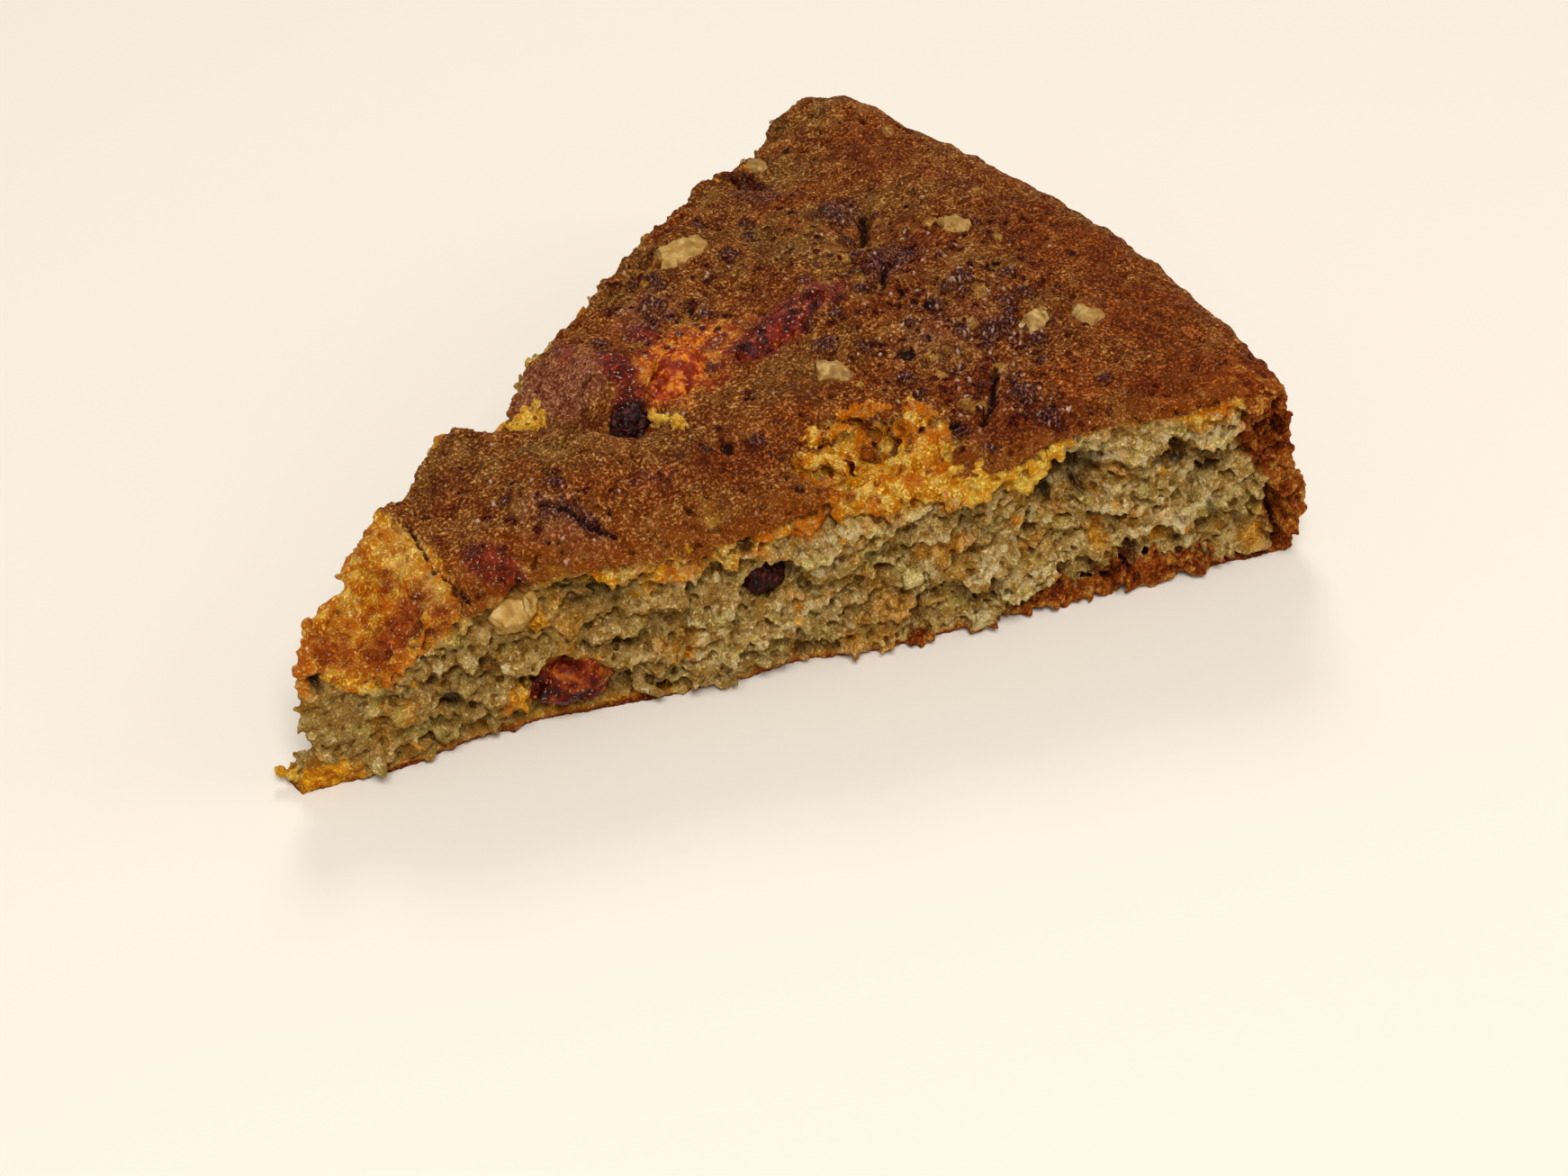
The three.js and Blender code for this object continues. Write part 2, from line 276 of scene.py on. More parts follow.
# Cracks in the crust: places along each, width and depth.
crustCracks = {
    "crack at the middle": {
        "line": [(103.2, 16.6), (100.6, 13.6), (97.2, 10.4)], "width": 0.8, "depth": 1.9},
    "crack towards the tip": {"line": [(96.6, 3.6), (94.4, 2.9), (91.9, 0.4)], "width": 0.5, "depth": 1.4},
    "slanting crack": {"line": [(93.6, -1.4), (91.2, -3.6), (90.4, -2.4)], "width": 0.5, "depth": 1.2},
    "crack by the front cut": {
        "line": [(91.4, -20.6), (90.0, -22.4), (87.6, -24.6), (84.1, -26.4)], "width": 0.5, "depth": 1.5},
    "crack on the hump": {
        "line": [(33.6, -4.2), (35.4, -6.8), (36.2, -9.6), (38.6, -11.9)], "width": 0.45, "depth": 0.8},
    "crease at the torn tip": {
        "line": [(21.4, 9.0), (20.4, 5.0), (19.3, -1.9), (20.0, -8.6)], "width": 0.27, "depth": 0.5},
    "crack at the far cut": {
        "line": [(86.6, 25.4), (84.6, 28.4), (85.6, 30.6)], "width": 0.3, "depth": 0.8},
    "crack by the far burn": {
        "line": [(97.2, 31.2), (95.4, 33.0), (96.4, 35.8)], "width": 0.3, "depth": 0.9},
}
# Splits in the front cut: (distance from the tip, height) along each, width and depth.
cutCracks = {
    "split by the rim": {
        "line": [(124.4, 13.4), (125.6, 9.8), (126.4, 6.6), (127.5, 2.0)], "width": 0.45, "depth": 2.4},
    "split under the crust": {
        "line": [(107.6, 21.4), (110.4, 21.9), (112.6, 21.2)], "width": 0.5, "depth": 1.6},
    "split beside it": {"line": [(115.0, 17.8), (118.2, 17.1)], "width": 0.6, "depth": 1.9},
    "split near the tip": {"line": [(17.0, 8.9), (19.4, 8.5)], "width": 0.7, "depth": 1.6},
}
# Hollows in the front cut: (distance from the tip, height), half sizes and depth.
cutHollows = {
    "hole under the lip": {"at": (94.2, 19.4), "half": (1.8, 1.6), "depth": 3.6},
    "hollow right of the lip": {"at": (99.0, 21.2), "half": (4.3, 3.6), "depth": 4.2},
    "hole in the hollow": {"at": (100.4, 18.4), "half": (1.2, 1.0), "depth": 1.6},
    "hollow under the nut": {"at": (36.2, 18.2), "half": (4.6, 3.2), "depth": 2.4},
    "hole by the nut": {"at": (31.8, 20.9), "half": (1.2, 0.9), "depth": 1.6},
    "spot near the tip": {"at": (2.6, 16.3), "half": (0.9, 0.8), "depth": 1.6},
    "hole low at the middle": {"at": (77.7, 4.4), "half": (1.6, 0.9), "depth": 1.6},
    "hole low near the rim": {"at": (117.6, 9.5), "half": (0.9, 1.3), "depth": 1.6},
    "undercut near the rim": {"at": (99.0, 7.6), "half": (3.0, 1.6), "depth": 1.6},
}

# The pieces in the front cut, those of them that no crumb crosses, and the pieces in the crust.
inFront = ["fruit_cut", "nut_front_edge", "raisin_cut"]
bareInFront = ["fruit_cut", "nut_front_edge"]
inTop = sorted(set(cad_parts) - {"cake_slice", *inFront})
cake = copyOfNode("cake_slice", "cakeForm")
trees = skinTrees(cake.data)
# The beds of the nuts and fruit are filled from beneath, so that the cake closes in round each piece.
seated = {}
form = bmesh.new()
form.from_mesh(cake.data)
for nodeName in sorted(inFront + inTop):
    plug = copyOfNode(nodeName, "plug")
    spots = readPoints(plug.data)
    tree = BVHTree.FromPolygons(spots.tolist(), [tuple(f.vertices) for f in plug.data.polygons])
    seated[nodeName] = {"tree": tree, "low": spots.min(axis=0), "high": spots.max(axis=0)}
    inward = np.array((sinHalf, cosHalf, 0)) if nodeName in inFront else np.array((0, 0, -1))
    grown = readPoints(plug.data) + readNormals(plug.data) * sliceForm["plugGrow"]
    writePoints(plug.data, grown + inward * sliceForm["plugSink"])
    form.from_mesh(plug.data)
    bpy.data.objects.remove(plug)
form.to_mesh(cake.data)
form.free()
fuse(cake, sliceForm["firstVoxel"])


# Distance to the nearest of the named pieces, as far as the reach.
def pieceDistance(points, names, reach):
    found = np.full(len(points), float(reach))
    for nodeName in names:
        piece = seated[nodeName]
        near = np.all((points > piece["low"] - reach) & (points < piece["high"] + reach), axis=1)
        for i in np.flatnonzero(near):
            found[i] = min(found[i], piece["tree"].find_nearest(points[i])[3])
    return found


# Distances along and across a line through a place in the top, turned by some degrees.
def turned(ways, x, y, degrees):
    turn = math.radians(degrees)
    dx, dy = ways["x"] - x, ways["y"] - y
    along = dx * math.cos(turn) + dy * math.sin(turn)
    across = dy * math.cos(turn) - dx * math.sin(turn)
    return along, across


# How far a place in the top is from the middle of a form by the front cut, 1 at the form's edge.
def frontWay(ways, form):
    along = (ways["along"] - form["along"]) / form["length"]
    return np.hypot(along, (ways["front"] - form["inside"]) / form["width"]) + 9.0 * ~ways["onFront"]


# The place in the top at a distance along the front cut and a distance in from it.
def frontPlace(along, inside, height=None):
    x, y = along * cosHalf + inside * sinHalf, inside * cosHalf - along * sinHalf
    return x, y, topHeight(x, y) if height is None else height


# The height of the CAD's top at a place.
def topHeight(x, y):
    hit = trees["top"].ray_cast((x, y, 60), (0, 0, -1))
    return 26.0 if hit[0] is None else hit[0].z


# Torn layers: each stands out at its foot and falls back towards its top.
def layers(points, ways, pitch, stray, seed):
    level = (ways["z"] - sliceForm["ledgeSlope"] * ways["along"]) / pitch
    level += stray * lumps(points, pitch * 2.2, 2, seed)
    level += 0.4 * stray * lumps(points, pitch * 0.6, 2, seed + 1)
    share = level - np.floor(level)
    return (1 - share) ** 1.5 - 0.4


# Torn plates: each stands out at its foot and by an amount of its own, and ends in a ragged edge.
def plates(points, ways, reach, thick, seed):
    level = ways["z"] - sliceForm["ledgeSlope"] * ways["along"]
    spots = np.stack([ways["along"] / reach, ways["edge"] / reach + 40 * ways["onFront"], level / thick], 1)
    stray = np.stack([lumps(points, 0.45 * reach, 3, seed + i) for i in range(3)], 1)
    spots = spots + stray * (0.3, 0.3, 0.45) + 5.3 * seed
    nearest = np.array([noise.voronoi(spot)[1][0][:] for spot in spots.tolist()])
    chance = np.modf(np.abs(np.sin(nearest @ (12.99, 78.23, 37.72))) * 4375.85)[0]
    return 1.1 * (nearest - spots)[:, 2] + 1.2 * (chance - 0.5)


# How far the ridge, the dip behind it and the curled corner lift a place.
def liftAt(points):
    ways = {"x": points[:, 0], "y": points[:, 1]}
    along, across = turned(ways, humpRidge["x"], humpRidge["y"], humpRidge["turn"] - 90)
    across = across - 1.2 * hump((along + 6) / 4)
    lift = humpRidge["lift"] * hump((across + 1.5) / 2.4) - humpRidge["dip"] * hump((across - 2.4) / 2.0)
    lift = lift * (1 - smooth(1, 9, along)) * smooth(-20, -16, along)
    corner = [(ways[axis] - farCorner[axis]) / farCorner["reach"] for axis in ("x", "y")]
    return (lift + farCorner["lift"] * hump(*corner)) * smooth(8, 20, points[:, 2])


points = readPoints(cake.data)
normals = readNormals(cake.data)
skins = skinDistances(trees, points)
ways = sliceWays(points)
nearSkin = np.minimum(np.minimum(skins["top"], skins["rim"]), skins["base"])
tornWay = ways["radius"] - sliceForm["tornEdge"] - 0.8 * lumps(points, 3, 2, 5)
tornZone = 1 - smooth(-0.4, 0.4, tornWay)
isTop = 1 - smooth(0.4, 1.2, skins["top"])
isRim = 1 - smooth(0.4, 1.2, skins["rim"])
isBase = 1 - smooth(0.3, 0.8, skins["base"])
patchWay = frontWay(ways, brokenPatch) + 0.3 * lumps(points, 4.5, 3, 8)
inPatch = (1 - smooth(0.85, 1.05, patchWay)) * isTop
crumb = smooth(0.5, 1.6, nearSkin)
crumb = np.maximum(crumb, inPatch * 0.8) * (1 - 0.75 * tornZone * isTop)
room = np.clip(ways["radius"] / 16, 0.15, 1)
edgeBand = isTop * (1 - smooth(0.6, 2.6, ways["edge"] + 0.8 * lumps(points, 3, 2, 14)))
strength = smooth(-0.4, 0.3, lumps(points, 9, 2, 3))
moved = sliceForm["ledgeDepth"] * strength * layers(points, ways, sliceForm["ledgePitch"], 0.45, 1)
moved += sliceForm["plateDepth"] * plates(points, ways, sliceForm["plateReach"], sliceForm["plateThick"], 2)
moved += sliceForm["chipDepth"] * plates(points, ways, sliceForm["chipReach"], sliceForm["chipThick"], 7)
moved += sliceForm["lumpDepth"] * lumps(points, 3.6, 5, 4, (1.4, 1.4, 0.8))
moved -= sliceForm["poreDepth"] * smooth(0.3, 0.55, lumps(points, 2.6, 2, 6, (1.6, 1.6, 0.8)))
moved *= np.maximum(crumb, 0.4 * edgeBand) * room * (1 - 0.6 * isTop)
nearCut = 1 - smooth(1, 9, ways["edge"])
moved += isTop * (0.45 * lumps(points, 8, 3, 7) + (0.3 + 0.3 * nearCut) * lumps(points, 2.8, 3, 9))
moved += isRim * (0.5 * lumps(points, 5, 3, 10) + 0.25 * lumps(points, 1.8, 2, 11))
moved += tornZone * isTop * (0.8 * lumps(points, 5.0, 2, 12) + 0.5 * lumps(points, 2.2, 2, 13) - 0.9)
moved -= inPatch * 0.9
moved *= 1 - isBase * 0.8
clearOf = smooth(0.3, 2.6, pieceDistance(points, inFront, 3))  # nothing swells over the pieces in the cut
moved = np.where(moved > 0, moved * clearOf, moved)
points = points + normals * moved[:, None]
points[:, 2] += liftAt(points)
points[:, 2] = np.maximum(points[:, 2], 0)
writePoints(cake.data, points)

print("slice: crumbs and flakes")
faceCount = len(cake.data.polygons)
centres = np.empty(faceCount * 3)
cake.data.polygons.foreach_get("center", centres)
centres = centres.reshape(-1, 3)
outward = np.empty(faceCount * 3)
cake.data.polygons.foreach_get("normal", outward)
outward = outward.reshape(-1, 3)
corners = np.empty(faceCount * 4, np.int32)
cake.data.polygons.foreach_get("vertices", corners)
corners = corners.reshape(-1, 4)
crumbShare = np.maximum(crumb, 0.25 * edgeBand) * (1 - 0.7 * tornZone * isTop)
faceCrumb = crumbShare[corners].mean(axis=1) * (centres[:, 2] > 0.5)
faceCrumb *= smooth(0.8, 1.6, pieceDistance(centres, bareInFront, 2))
faceDeep = faceCrumb * smooth(0.9, 2.2, skins["top"])[corners].mean(axis=1)
faceTorn = (tornZone * isTop)[corners].mean(axis=1)
faceBaked = (isRim * (1 - isTop))[corners].mean(axis=1)
crumbKinds = {"crumb": 0, "toasted": 1, "browned": 2, "shred": 3, "golden": 4}
scattered = []


# Small shapes over the faces, more where the share is larger: sizes as columns, how deep, turn and kind.
def scatter(share, sizes, sink, tilt, tints, kind):
    count = len(sizes)
    picked = draw.choice(faceCount, count, p=share / share.sum())
    places = centres[picked] + outward[picked] * (sizes.mean(axis=1) * draw.uniform(*sink, count))[:, None]
    if tilt is None:
        turns = randomTurns(sizes)
    else:
        turns = turnsAlong(outward[picked] + np.array((0, 0, -0.3)), sizes, tilt)
    scattered.append((places, turns, sizes.max(axis=1), tints, np.full(count, crumbKinds[kind])))


count = sliceForm["grains"]
reach = np.clip(draw.lognormal(math.log(0.27), 0.36, count), 0.18, 0.75)
sizes = reach[:, None] * draw.uniform(0.5, 1.4, (count, 3))
scatter(faceCrumb, sizes, (-0.75, 0.2), None, draw.normal(0, 0.5, count), "crumb")
count = sliceForm["flakes"]
reach = 0.7 + 1.3 * draw.uniform(0, 1, count) ** 2
sizes = np.stack([reach, reach * draw.uniform(0.35, 0.8, count), np.full(count, 0.34)], 1)
scatter(faceDeep, sizes, (0.0, 0.3), 0.45, draw.uniform(0.1, 1.1, count), "crumb")
count = sliceForm["bakedGrains"]
reach = draw.uniform(0.22, 0.62, count)
sizes = reach[:, None] * draw.uniform(0.6, 1.3, (count, 3))
scatter(faceBaked, sizes, (-0.6, 0.1), None, draw.normal(0, 0.6, count), "browned")
count = sliceForm["bigFlakes"]
reach = draw.uniform(1.3, 2.9, count)
sizes = np.stack([reach, reach * draw.uniform(0.4, 0.8, count), draw.uniform(0.4, 0.6, count)], 1)
scatter(faceDeep, sizes, (0.1, 0.35), 0.55, draw.uniform(0.7, 1.5, count), "crumb")
count = sliceForm["tornLumps"]
reach = draw.uniform(0.5, 1.6, count)
sizes = np.stack([reach, reach * draw.uniform(0.5, 1, count), reach * draw.uniform(0.22, 0.4, count)], 1)
scatter(faceTorn, sizes, (-0.45, 0.0), 0.35, draw.normal(0, 0.5, count), "crumb")
count = sliceForm["shreds"]
sizes = np.stack([draw.uniform(*extent, count) for extent in ((0.9, 2.2), (0.3, 0.45), (0.3, 0.4))], 1)
scatter(faceCrumb, sizes, (-0.5, 0.1), 0.2, draw.normal(0, 0.4, count), "shred")

# Crumbs baked or broken onto the slice: middle, half sizes, number, size range and kind.
crumbClusters = {
    "lip over the hollow": (frontPlace(87.5, -0.2, 24.6), (3.6, 1.4, 1.0), 210, (0.35, 0.9), "golden"),
    "tip of the lip": (frontPlace(92.2, -0.5, 22.4), (2.2, 0.8, 1.6), 170, (0.35, 0.8), "golden"),
    "first lump by the patch": (frontPlace(65.0, 7.5), (0.9, 0.9, 0.3), 10, (0.6, 1.2), "toasted"),
    "second lump by the patch": (frontPlace(67.2, 7.3), (0.9, 0.9, 0.3), 10, (0.6, 1.2), "toasted"),
    "third lump by the patch": (frontPlace(69.6, 6.8), (0.9, 0.9, 0.3), 12, (0.6, 1.2), "toasted"),
    "torn edge of the patch, tip side": (
        frontPlace(69.2, 10.8), (2.0, 0.6, 0.3), 50, (0.3, 0.7), "toasted"),
    "torn edge of the patch, inside": (frontPlace(74.6, 12.6), (2.6, 0.5, 0.3), 64, (0.3, 0.65), "toasted"),
    "torn edge of the patch, rim side": (
        frontPlace(80.6, 10.6), (1.6, 1.4, 0.3), 56, (0.3, 0.7), "toasted"),
    "lower edge of the patch": (frontPlace(72.8, 0.2, 24.6), (5.6, 1.0, 1.0), 150, (0.5, 1.3), "toasted"),
    "yellow crumb by the raisin": ((55.0, 1.4, 26.2), (0.9, 0.9, 0.5), 26, (0.3, 0.62), "golden"),
    "yellow crumb beside it": ((55.5, -2.4, 27.9), (0.9, 0.9, 0.4), 26, (0.3, 0.62), "golden"),
    "yellow flake on the far side": ((45.2, 14.6, 23.0), (2.2, 1.3, 0.8), 90, (0.35, 0.8), "golden"),
    "browned crumb on the rim": ((120.6, -46.6, 8.8), (1.3, 1.5, 2.2), 210, (0.35, 0.8), "browned"),
    "browned crumb at the base": (frontPlace(77.8, -0.9, 0.6), (1.5, 0.7, 0.5), 46, (0.4, 0.8), "browned"),
    "browned crumb beside it": (frontPlace(73.4, -0.8, 0.5), (1.0, 0.6, 0.4), 24, (0.4, 0.7), "browned"),
    "base crust, rim side": (frontPlace(110.5, -0.6, 2.6), (4.6, 0.7, 2.0), 240, (0.4, 1.0), "browned"),
    "base crust, middle": (frontPlace(99.0, -0.5, 1.6), (4.6, 0.6, 1.1), 160, (0.4, 0.9), "browned"),
    "base crust between them": (frontPlace(103.4, -0.1, 1.0), (2.0, 0.5, 0.8), 70, (0.4, 0.8), "browned"),
    "flake by the nut": (frontPlace(28.8, -0.6, 18.6), (0.9, 0.6, 0.7), 16, (0.4, 0.8), "golden"),
    "flakes by the low fruit": (frontPlace(25.6, -0.5, 6.8), (1.7, 0.6, 1.5), 40, (0.5, 1.0), "toasted"),
    "foot of the tip": ((-0.6, 1.6, 1.3), (1.6, 0.8, 0.6), 30, (0.4, 0.8), "golden"),
    "burnt crumbs at the far cut": ((97.4, 35.0, 26.2), (1.8, 1.2, 0.5), 30, (0.4, 0.9), "browned"),
}
# Turns a cluster's half sizes to run along the front cut.
frontTurn = np.array(((cosHalf, -sinHalf, 0), (-sinHalf, -cosHalf, 0), (0, 0, 1)))
for middle, spread, count, grain, kind in crumbClusters.values():
    size = draw.uniform(*grain, count)
    away = np.clip(draw.normal(0, 0.6, (count, 3)), -1.6, 1.6) * np.array(spread)
    away = away @ frontTurn if middle[1] < 0 else away
    turns = randomTurns(size[:, None] * draw.uniform(0.4, 1.3, (count, 3)))
    tints = draw.normal(0.3, 0.5, count)
    scattered.append((np.array(middle) + away, turns, size, tints, np.full(count, crumbKinds[kind])))
allPlaces, allTurns, allReach, allTint, allKind = (np.concatenate(part) for part in zip(*scattered))
keep = allPlaces[:, 2] - allReach * 0.5 > 0.1
keep &= pieceDistance(allPlaces, bareInFront, 3) > np.minimum(allReach + 0.3, 2.9)
keep &= pieceDistance(allPlaces, ["raisin_cut"], 3) > 0.45 * allReach
keep &= pieceDistance(allPlaces, inTop, 3) > 0.9 * allReach
allPlaces, allTurns, allReach, allTint, allKind = (
    part[keep] for part in (allPlaces, allTurns, allReach, allTint, allKind))
shapes = [roughBall(1, 0.0, 0), roughBall(1, 0.9, 1), roughBall(2, 0.55, 2), roughBall(1, 0.9, 5)]
picks = np.where(allReach < 0.36, 0, draw.integers(1, 4, len(allReach)))
grains = newObject("grains", joinedShapes("grains", shapes, picks, allPlaces, allTurns))

form = bmesh.new()
form.from_mesh(cake.data)
form.from_mesh(grains.data)
form.to_mesh(cake.data)
form.free()
bpy.data.objects.remove(grains)
fuse(cake, sliceForm["voxel"])
print("slice: squares", len(cake.data.polygons))

print("slice: fine relief")
points = readPoints(cake.data)
normals = readNormals(cake.data)
unlifted = points - np.outer(liftAt(points), (0, 0, 1))
skins = skinDistances(trees, unlifted)
ways = sliceWays(points)
nearSkin = np.minimum(np.minimum(skins["top"], skins["rim"]), skins["base"])
wobble = lumps(points, 2.2, 3, 20)
fineWobble = lumps(points, 0.9, 2, 21)
broadWobble = lumps(points, 5.5, 2, 26)
tornWay = ways["radius"] - sliceForm["tornEdge"] - 0.8 * lumps(points, 3, 2, 5) - 0.3 * fineWobble
tornZone = 1 - smooth(-0.25, 0.25, tornWay)
patchWay = frontWay(ways, brokenPatch) + 0.3 * lumps(points, 4.5, 3, 8) + 0.06 * wobble
onTop = 1 - smooth(0.9, 2.4, skins["top"])
inPatch = (1 - smooth(0.9, 1.0, patchWay)) * onTop
inPit = (1 - smooth(0.7, 1.3, frontWay(ways, brokenPit) + 0.25 * wobble)) * onTop
isFront = ways["onFront"] & (ways["front"] < 6)
isTop = (1 - smooth(0.5, 1.5, skins["top"] + 0.4 * wobble + 0.5 * broadWobble)) * (1 - inPatch)
# The browned rim and base reach onto the front cut: the rim's (height, distance from the tip), and the
# base's (distance from the tip, height).
rimReach = [(0, 127.6), (2.5, 126.5), (6.9, 125.2), (10.8, 125), (14.8, 123.6), (18.6, 120.5), (23.2, 119.4),
            (27.5, 119.3)]
baseReach = [(0, 0.2), (30, 0.3), (60, 0.5), (84, 1.2), (89, 2.0), (94, 3.2), (97.5, 4.0), (101, 3.0),
             (104.7, 4.8), (108.4, 5.8), (113.9, 4.8), (118.5, 2.6), (121, 1.4), (128, 1)]
rimLine = np.interp(points[:, 2], *zip(*rimReach))
baseLine = np.interp(ways["along"], *zip(*baseReach))
isRim = 1 - smooth(0.6, 1.7, skins["rim"] + 0.45 * wobble)
rimEdge = smooth(-0.5, 0.5, ways["along"] - rimLine + 0.7 * wobble + 0.5 * fineWobble)
isRim = np.maximum(isRim, isFront * rimEdge)
isBase = 1 - smooth(0.35, 1.3, skins["base"] + 0.45 * wobble)
baseEdge = smooth(-0.5, 0.5, points[:, 2] - baseLine + 1.2 * wobble + 0.5 * fineWobble)
isBase = np.maximum(isBase, isFront * (1 - baseEdge))
stainKinds = ("red", "plum", "maroon", "dark", "ochre", "glint", "orange", "tan", "amber", "gold", "rust",
              "blush", "carrot")
stains = {kind: np.zeros(len(points)) for kind in stainKinds}

# Small things baked into the crust, by kind: number, radii, and how far each stands out. The glints are
# raised specks painted pale as highlights.
crustBits = {
    "plum": {"count": 76, "size": (0.6, 1.5), "lift": 0.34},
    "maroon": {"count": 360, "size": (0.25, 0.75), "lift": 0.14},
    "dark": {"count": 110, "size": (0.2, 0.46), "lift": -0.4},
    "ochre": {"count": 14, "size": (0.6, 1.4), "lift": 0.16},
    "glint": {"count": 200, "size": (0.16, 0.3), "lift": 0.3},
}
# Where they gather: place, spread and share.
bitGathers = [
    (99, 2, 13, 0.26), (92, -16, 11, 0.2), (68, 17, 8, 0.09), (36, -5, 8, 0.05), (88, -27, 7, 0.12),
    (84, 18, 11, 0.06), (80, 0, 26, 0.2),
]
# Those that the photo shows one by one: kind, place and radius.
namedBits = [
    ("plum", 78.6, -3.6, 1.5), ("maroon", 83.2, -7.5, 1.0), ("dark", 85.3, -11.4, 1.3),
    ("dark", 93.9, -6.4, 0.9), ("plum", 94.4, 4.1, 1.9), ("plum", 100.9, 3.3, 1.1),
    ("plum", 97.6, -5.3, 0.9), ("maroon", 87.5, -17.7, 0.8), ("plum", 95.8, -15.5, 1.7),
    ("maroon", 96.8, -20.5, 1.1), ("plum", 91.0, -26.5, 2.0), ("dark", 81.7, -24.1, 0.8),
    ("dark", 107.0, -5.0, 0.7), ("ochre", 107.4, 7.9, 1.7), ("ochre", 99.9, -9.2, 1.1),
    ("ochre", 95.0, -12.2, 1.6), ("ochre", 85.5, -23.3, 1.7), ("glint", 85.7, -21.8, 0.5),
    ("glint", 92.8, -32.4, 0.45), ("plum", 99.2, 18.3, 2.2), ("plum", 33.4, -5.6, 1.3),
    ("plum", 36.6, -9.6, 1.2), ("plum", 30.6, -1.0, 0.8), ("maroon", 26.7, -5.9, 0.7),
    ("dark", 31.1, -1.1, 0.4), ("dark", 57.4, -9.6, 1.2), ("plum", 55.2, -8.4, 1.0),
    ("dark", 59.5, -20.6, 0.9),
]
bits = list(namedBits)
shares = np.array([gather[3] for gather in bitGathers])
for kind, bit in crustBits.items():
    left = bit["count"]
    while left > 0:
        x, y, spread, _ = bitGathers[draw.choice(len(bitGathers), p=shares / shares.sum())]
        x, y = x + draw.normal(0, 0.6 * spread), y + draw.normal(0, 0.6 * spread)
        if 22 < math.hypot(x, y) < 127 and x * sinHalf - abs(y) * cosHalf > 0.4:
            bits.append((kind, x, y, draw.uniform(*bit["size"])))
            left -= 1
upper = np.flatnonzero(skins["top"] < 2.5)
upperX, upperY = points[upper, 0], points[upper, 1]
down, inward = np.zeros(len(points)), np.zeros(len(points))
# How dark shade is painted in the cracks, the splits and the grooves round bits.
crackShade = np.zeros(len(points))
# The crust rises a little where it closes in round each piece.
down[upper] -= 0.42 * hump((pieceDistance(points[upper], inTop, 4) - 0.5) / 0.6)
for kind, x, y, radius in bits:
    near = np.flatnonzero(np.hypot(upperX - x, upperY - y) < 2.0 * radius)
    turn, ratio = draw.uniform(0, math.pi), draw.uniform(0.55, 1)
    dx, dy = upperX[near] - x, upperY[near] - y
    along = dx * math.cos(turn) + dy * math.sin(turn)
    across = dy * math.cos(turn) - dx * math.sin(turn)
    target = upper[near]
    way = np.hypot(along, across / ratio) / radius + 0.2 * wobble[target] + 0.25 * fineWobble[target]
    share = 1 - smooth(0.7, 1.05, way)
    ring = hump((way - 1.15) / 0.22) * min(1, radius)
    stains[kind][target] = np.maximum(stains[kind][target], share)
    down[target] -= crustBits[kind]["lift"] * share * (0.5 + 0.5 * radius)
    # Round a plum, ochre or maroon bit the crust sinks in a groove, painted dark there as shade.
    if kind in ("plum", "ochre", "maroon"):
        down[target] += 0.16 * ring
        crackShade[target] = np.maximum(crackShade[target], 0.4 * ring)
upper = skins["top"] < 3
for crack in crustCracks.values():
    way = np.full(len(points), 9.0)
    way[upper] = lineDistance(points[upper, 0], points[upper, 1], crack["line"])
    way += 0.5 * np.abs(fineWobble) + 0.7 * np.maximum(wobble, 0) - 0.12
    cut = np.exp(-((np.maximum(way, 0) / crack["width"]) ** 2))
    down += crack["depth"] * cut
    crackShade = np.maximum(crackShade, cut)
for crack in cutCracks.values():
    way = np.full(len(points), 9.0)
    way[isFront] = lineDistance(ways["along"][isFront], points[isFront, 2], crack["line"])
    way += 0.35 * np.abs(fineWobble) - 0.1
    cut = np.exp(-((np.maximum(way, 0) / crack["width"]) ** 2))
    inward += crack["depth"] * cut
    crackShade = np.maximum(crackShade, 0.9 * cut)
for form in cutHollows.values():
    (along, height), (length, rise) = form["at"], form["half"]
    inward += isFront * form["depth"] * hump((ways["along"] - along) / length, (points[:, 2] - height) / rise)
crumb = smooth(0.6, 1.4, nearSkin)
crumb = np.maximum(crumb, inPatch)
smoother = 1 - 0.8 * tornZone * onTop - 0.3 * inPatch
near = cells(points, 0.8, 1, (1.25, 1.25, 0.9))
moved = crumb * (0.17 * lumps(points, 0.9, 3, 22) + 0.14 * (0.5 - near)) * smoother
skinRough = (1 - crumb) * smoother * (0.6 + 0.8 * (1 - smooth(1, 6, ways["edge"])))
moved += skinRough * (0.16 * lumps(points, 1.6, 3, 23) + 0.09 * lumps(points, 0.55, 2, 25))
near = cells(points, 0.85, 2)
moved += skinRough * 0.12 * (0.45 - near)
moved -= isTop * 0.45 * smooth(0.46, 0.7, lumps(points, 1.7, 2, 24)) * smoother
moved -= 0.5 * inPit
resting = 1 - 0.9 * (points[:, 2] < 0.05)
points = points + normals * (moved * resting)[:, None]
points[:, 2] -= down
points += (inward * resting)[:, None] * np.array((sinHalf, cosHalf, 0))
points[:, 2] = np.maximum(points[:, 2], 0)
writePoints(cake.data, points)


# How sunken each point is beneath its surroundings, in millimetres, at one reach.
def hollowness(mesh, points, rounds):
    edges = np.empty(len(mesh.edges) * 2, np.int32)
    mesh.edges.foreach_get("vertices", edges)
    a, b = edges.reshape(-1, 2).T
    count = np.bincount(a, minlength=len(points)) + np.bincount(b, minlength=len(points))
    soft = points.copy()
    for _ in range(rounds):
        total = np.empty_like(soft)
        for axis in range(3):
            total[:, axis] = np.bincount(a, soft[b, axis], len(points))
            total[:, axis] += np.bincount(b, soft[a, axis], len(points))
        soft = total / count[:, None]
    return np.einsum("ij,ij->i", soft - points, readNormals(mesh))


# How sunken each place is, used to paint shade darker in the hollows of the crumb and the crust.
hollowReaches = ((3, 0.12), (14, 0.45), (50, 1.1))  # rounds of smoothing, and the depth that counts as full
hollow = sum(np.clip(hollowness(cake.data, points, rounds) / depth, -1, 1) * 0.5
             for rounds, depth in hollowReaches)

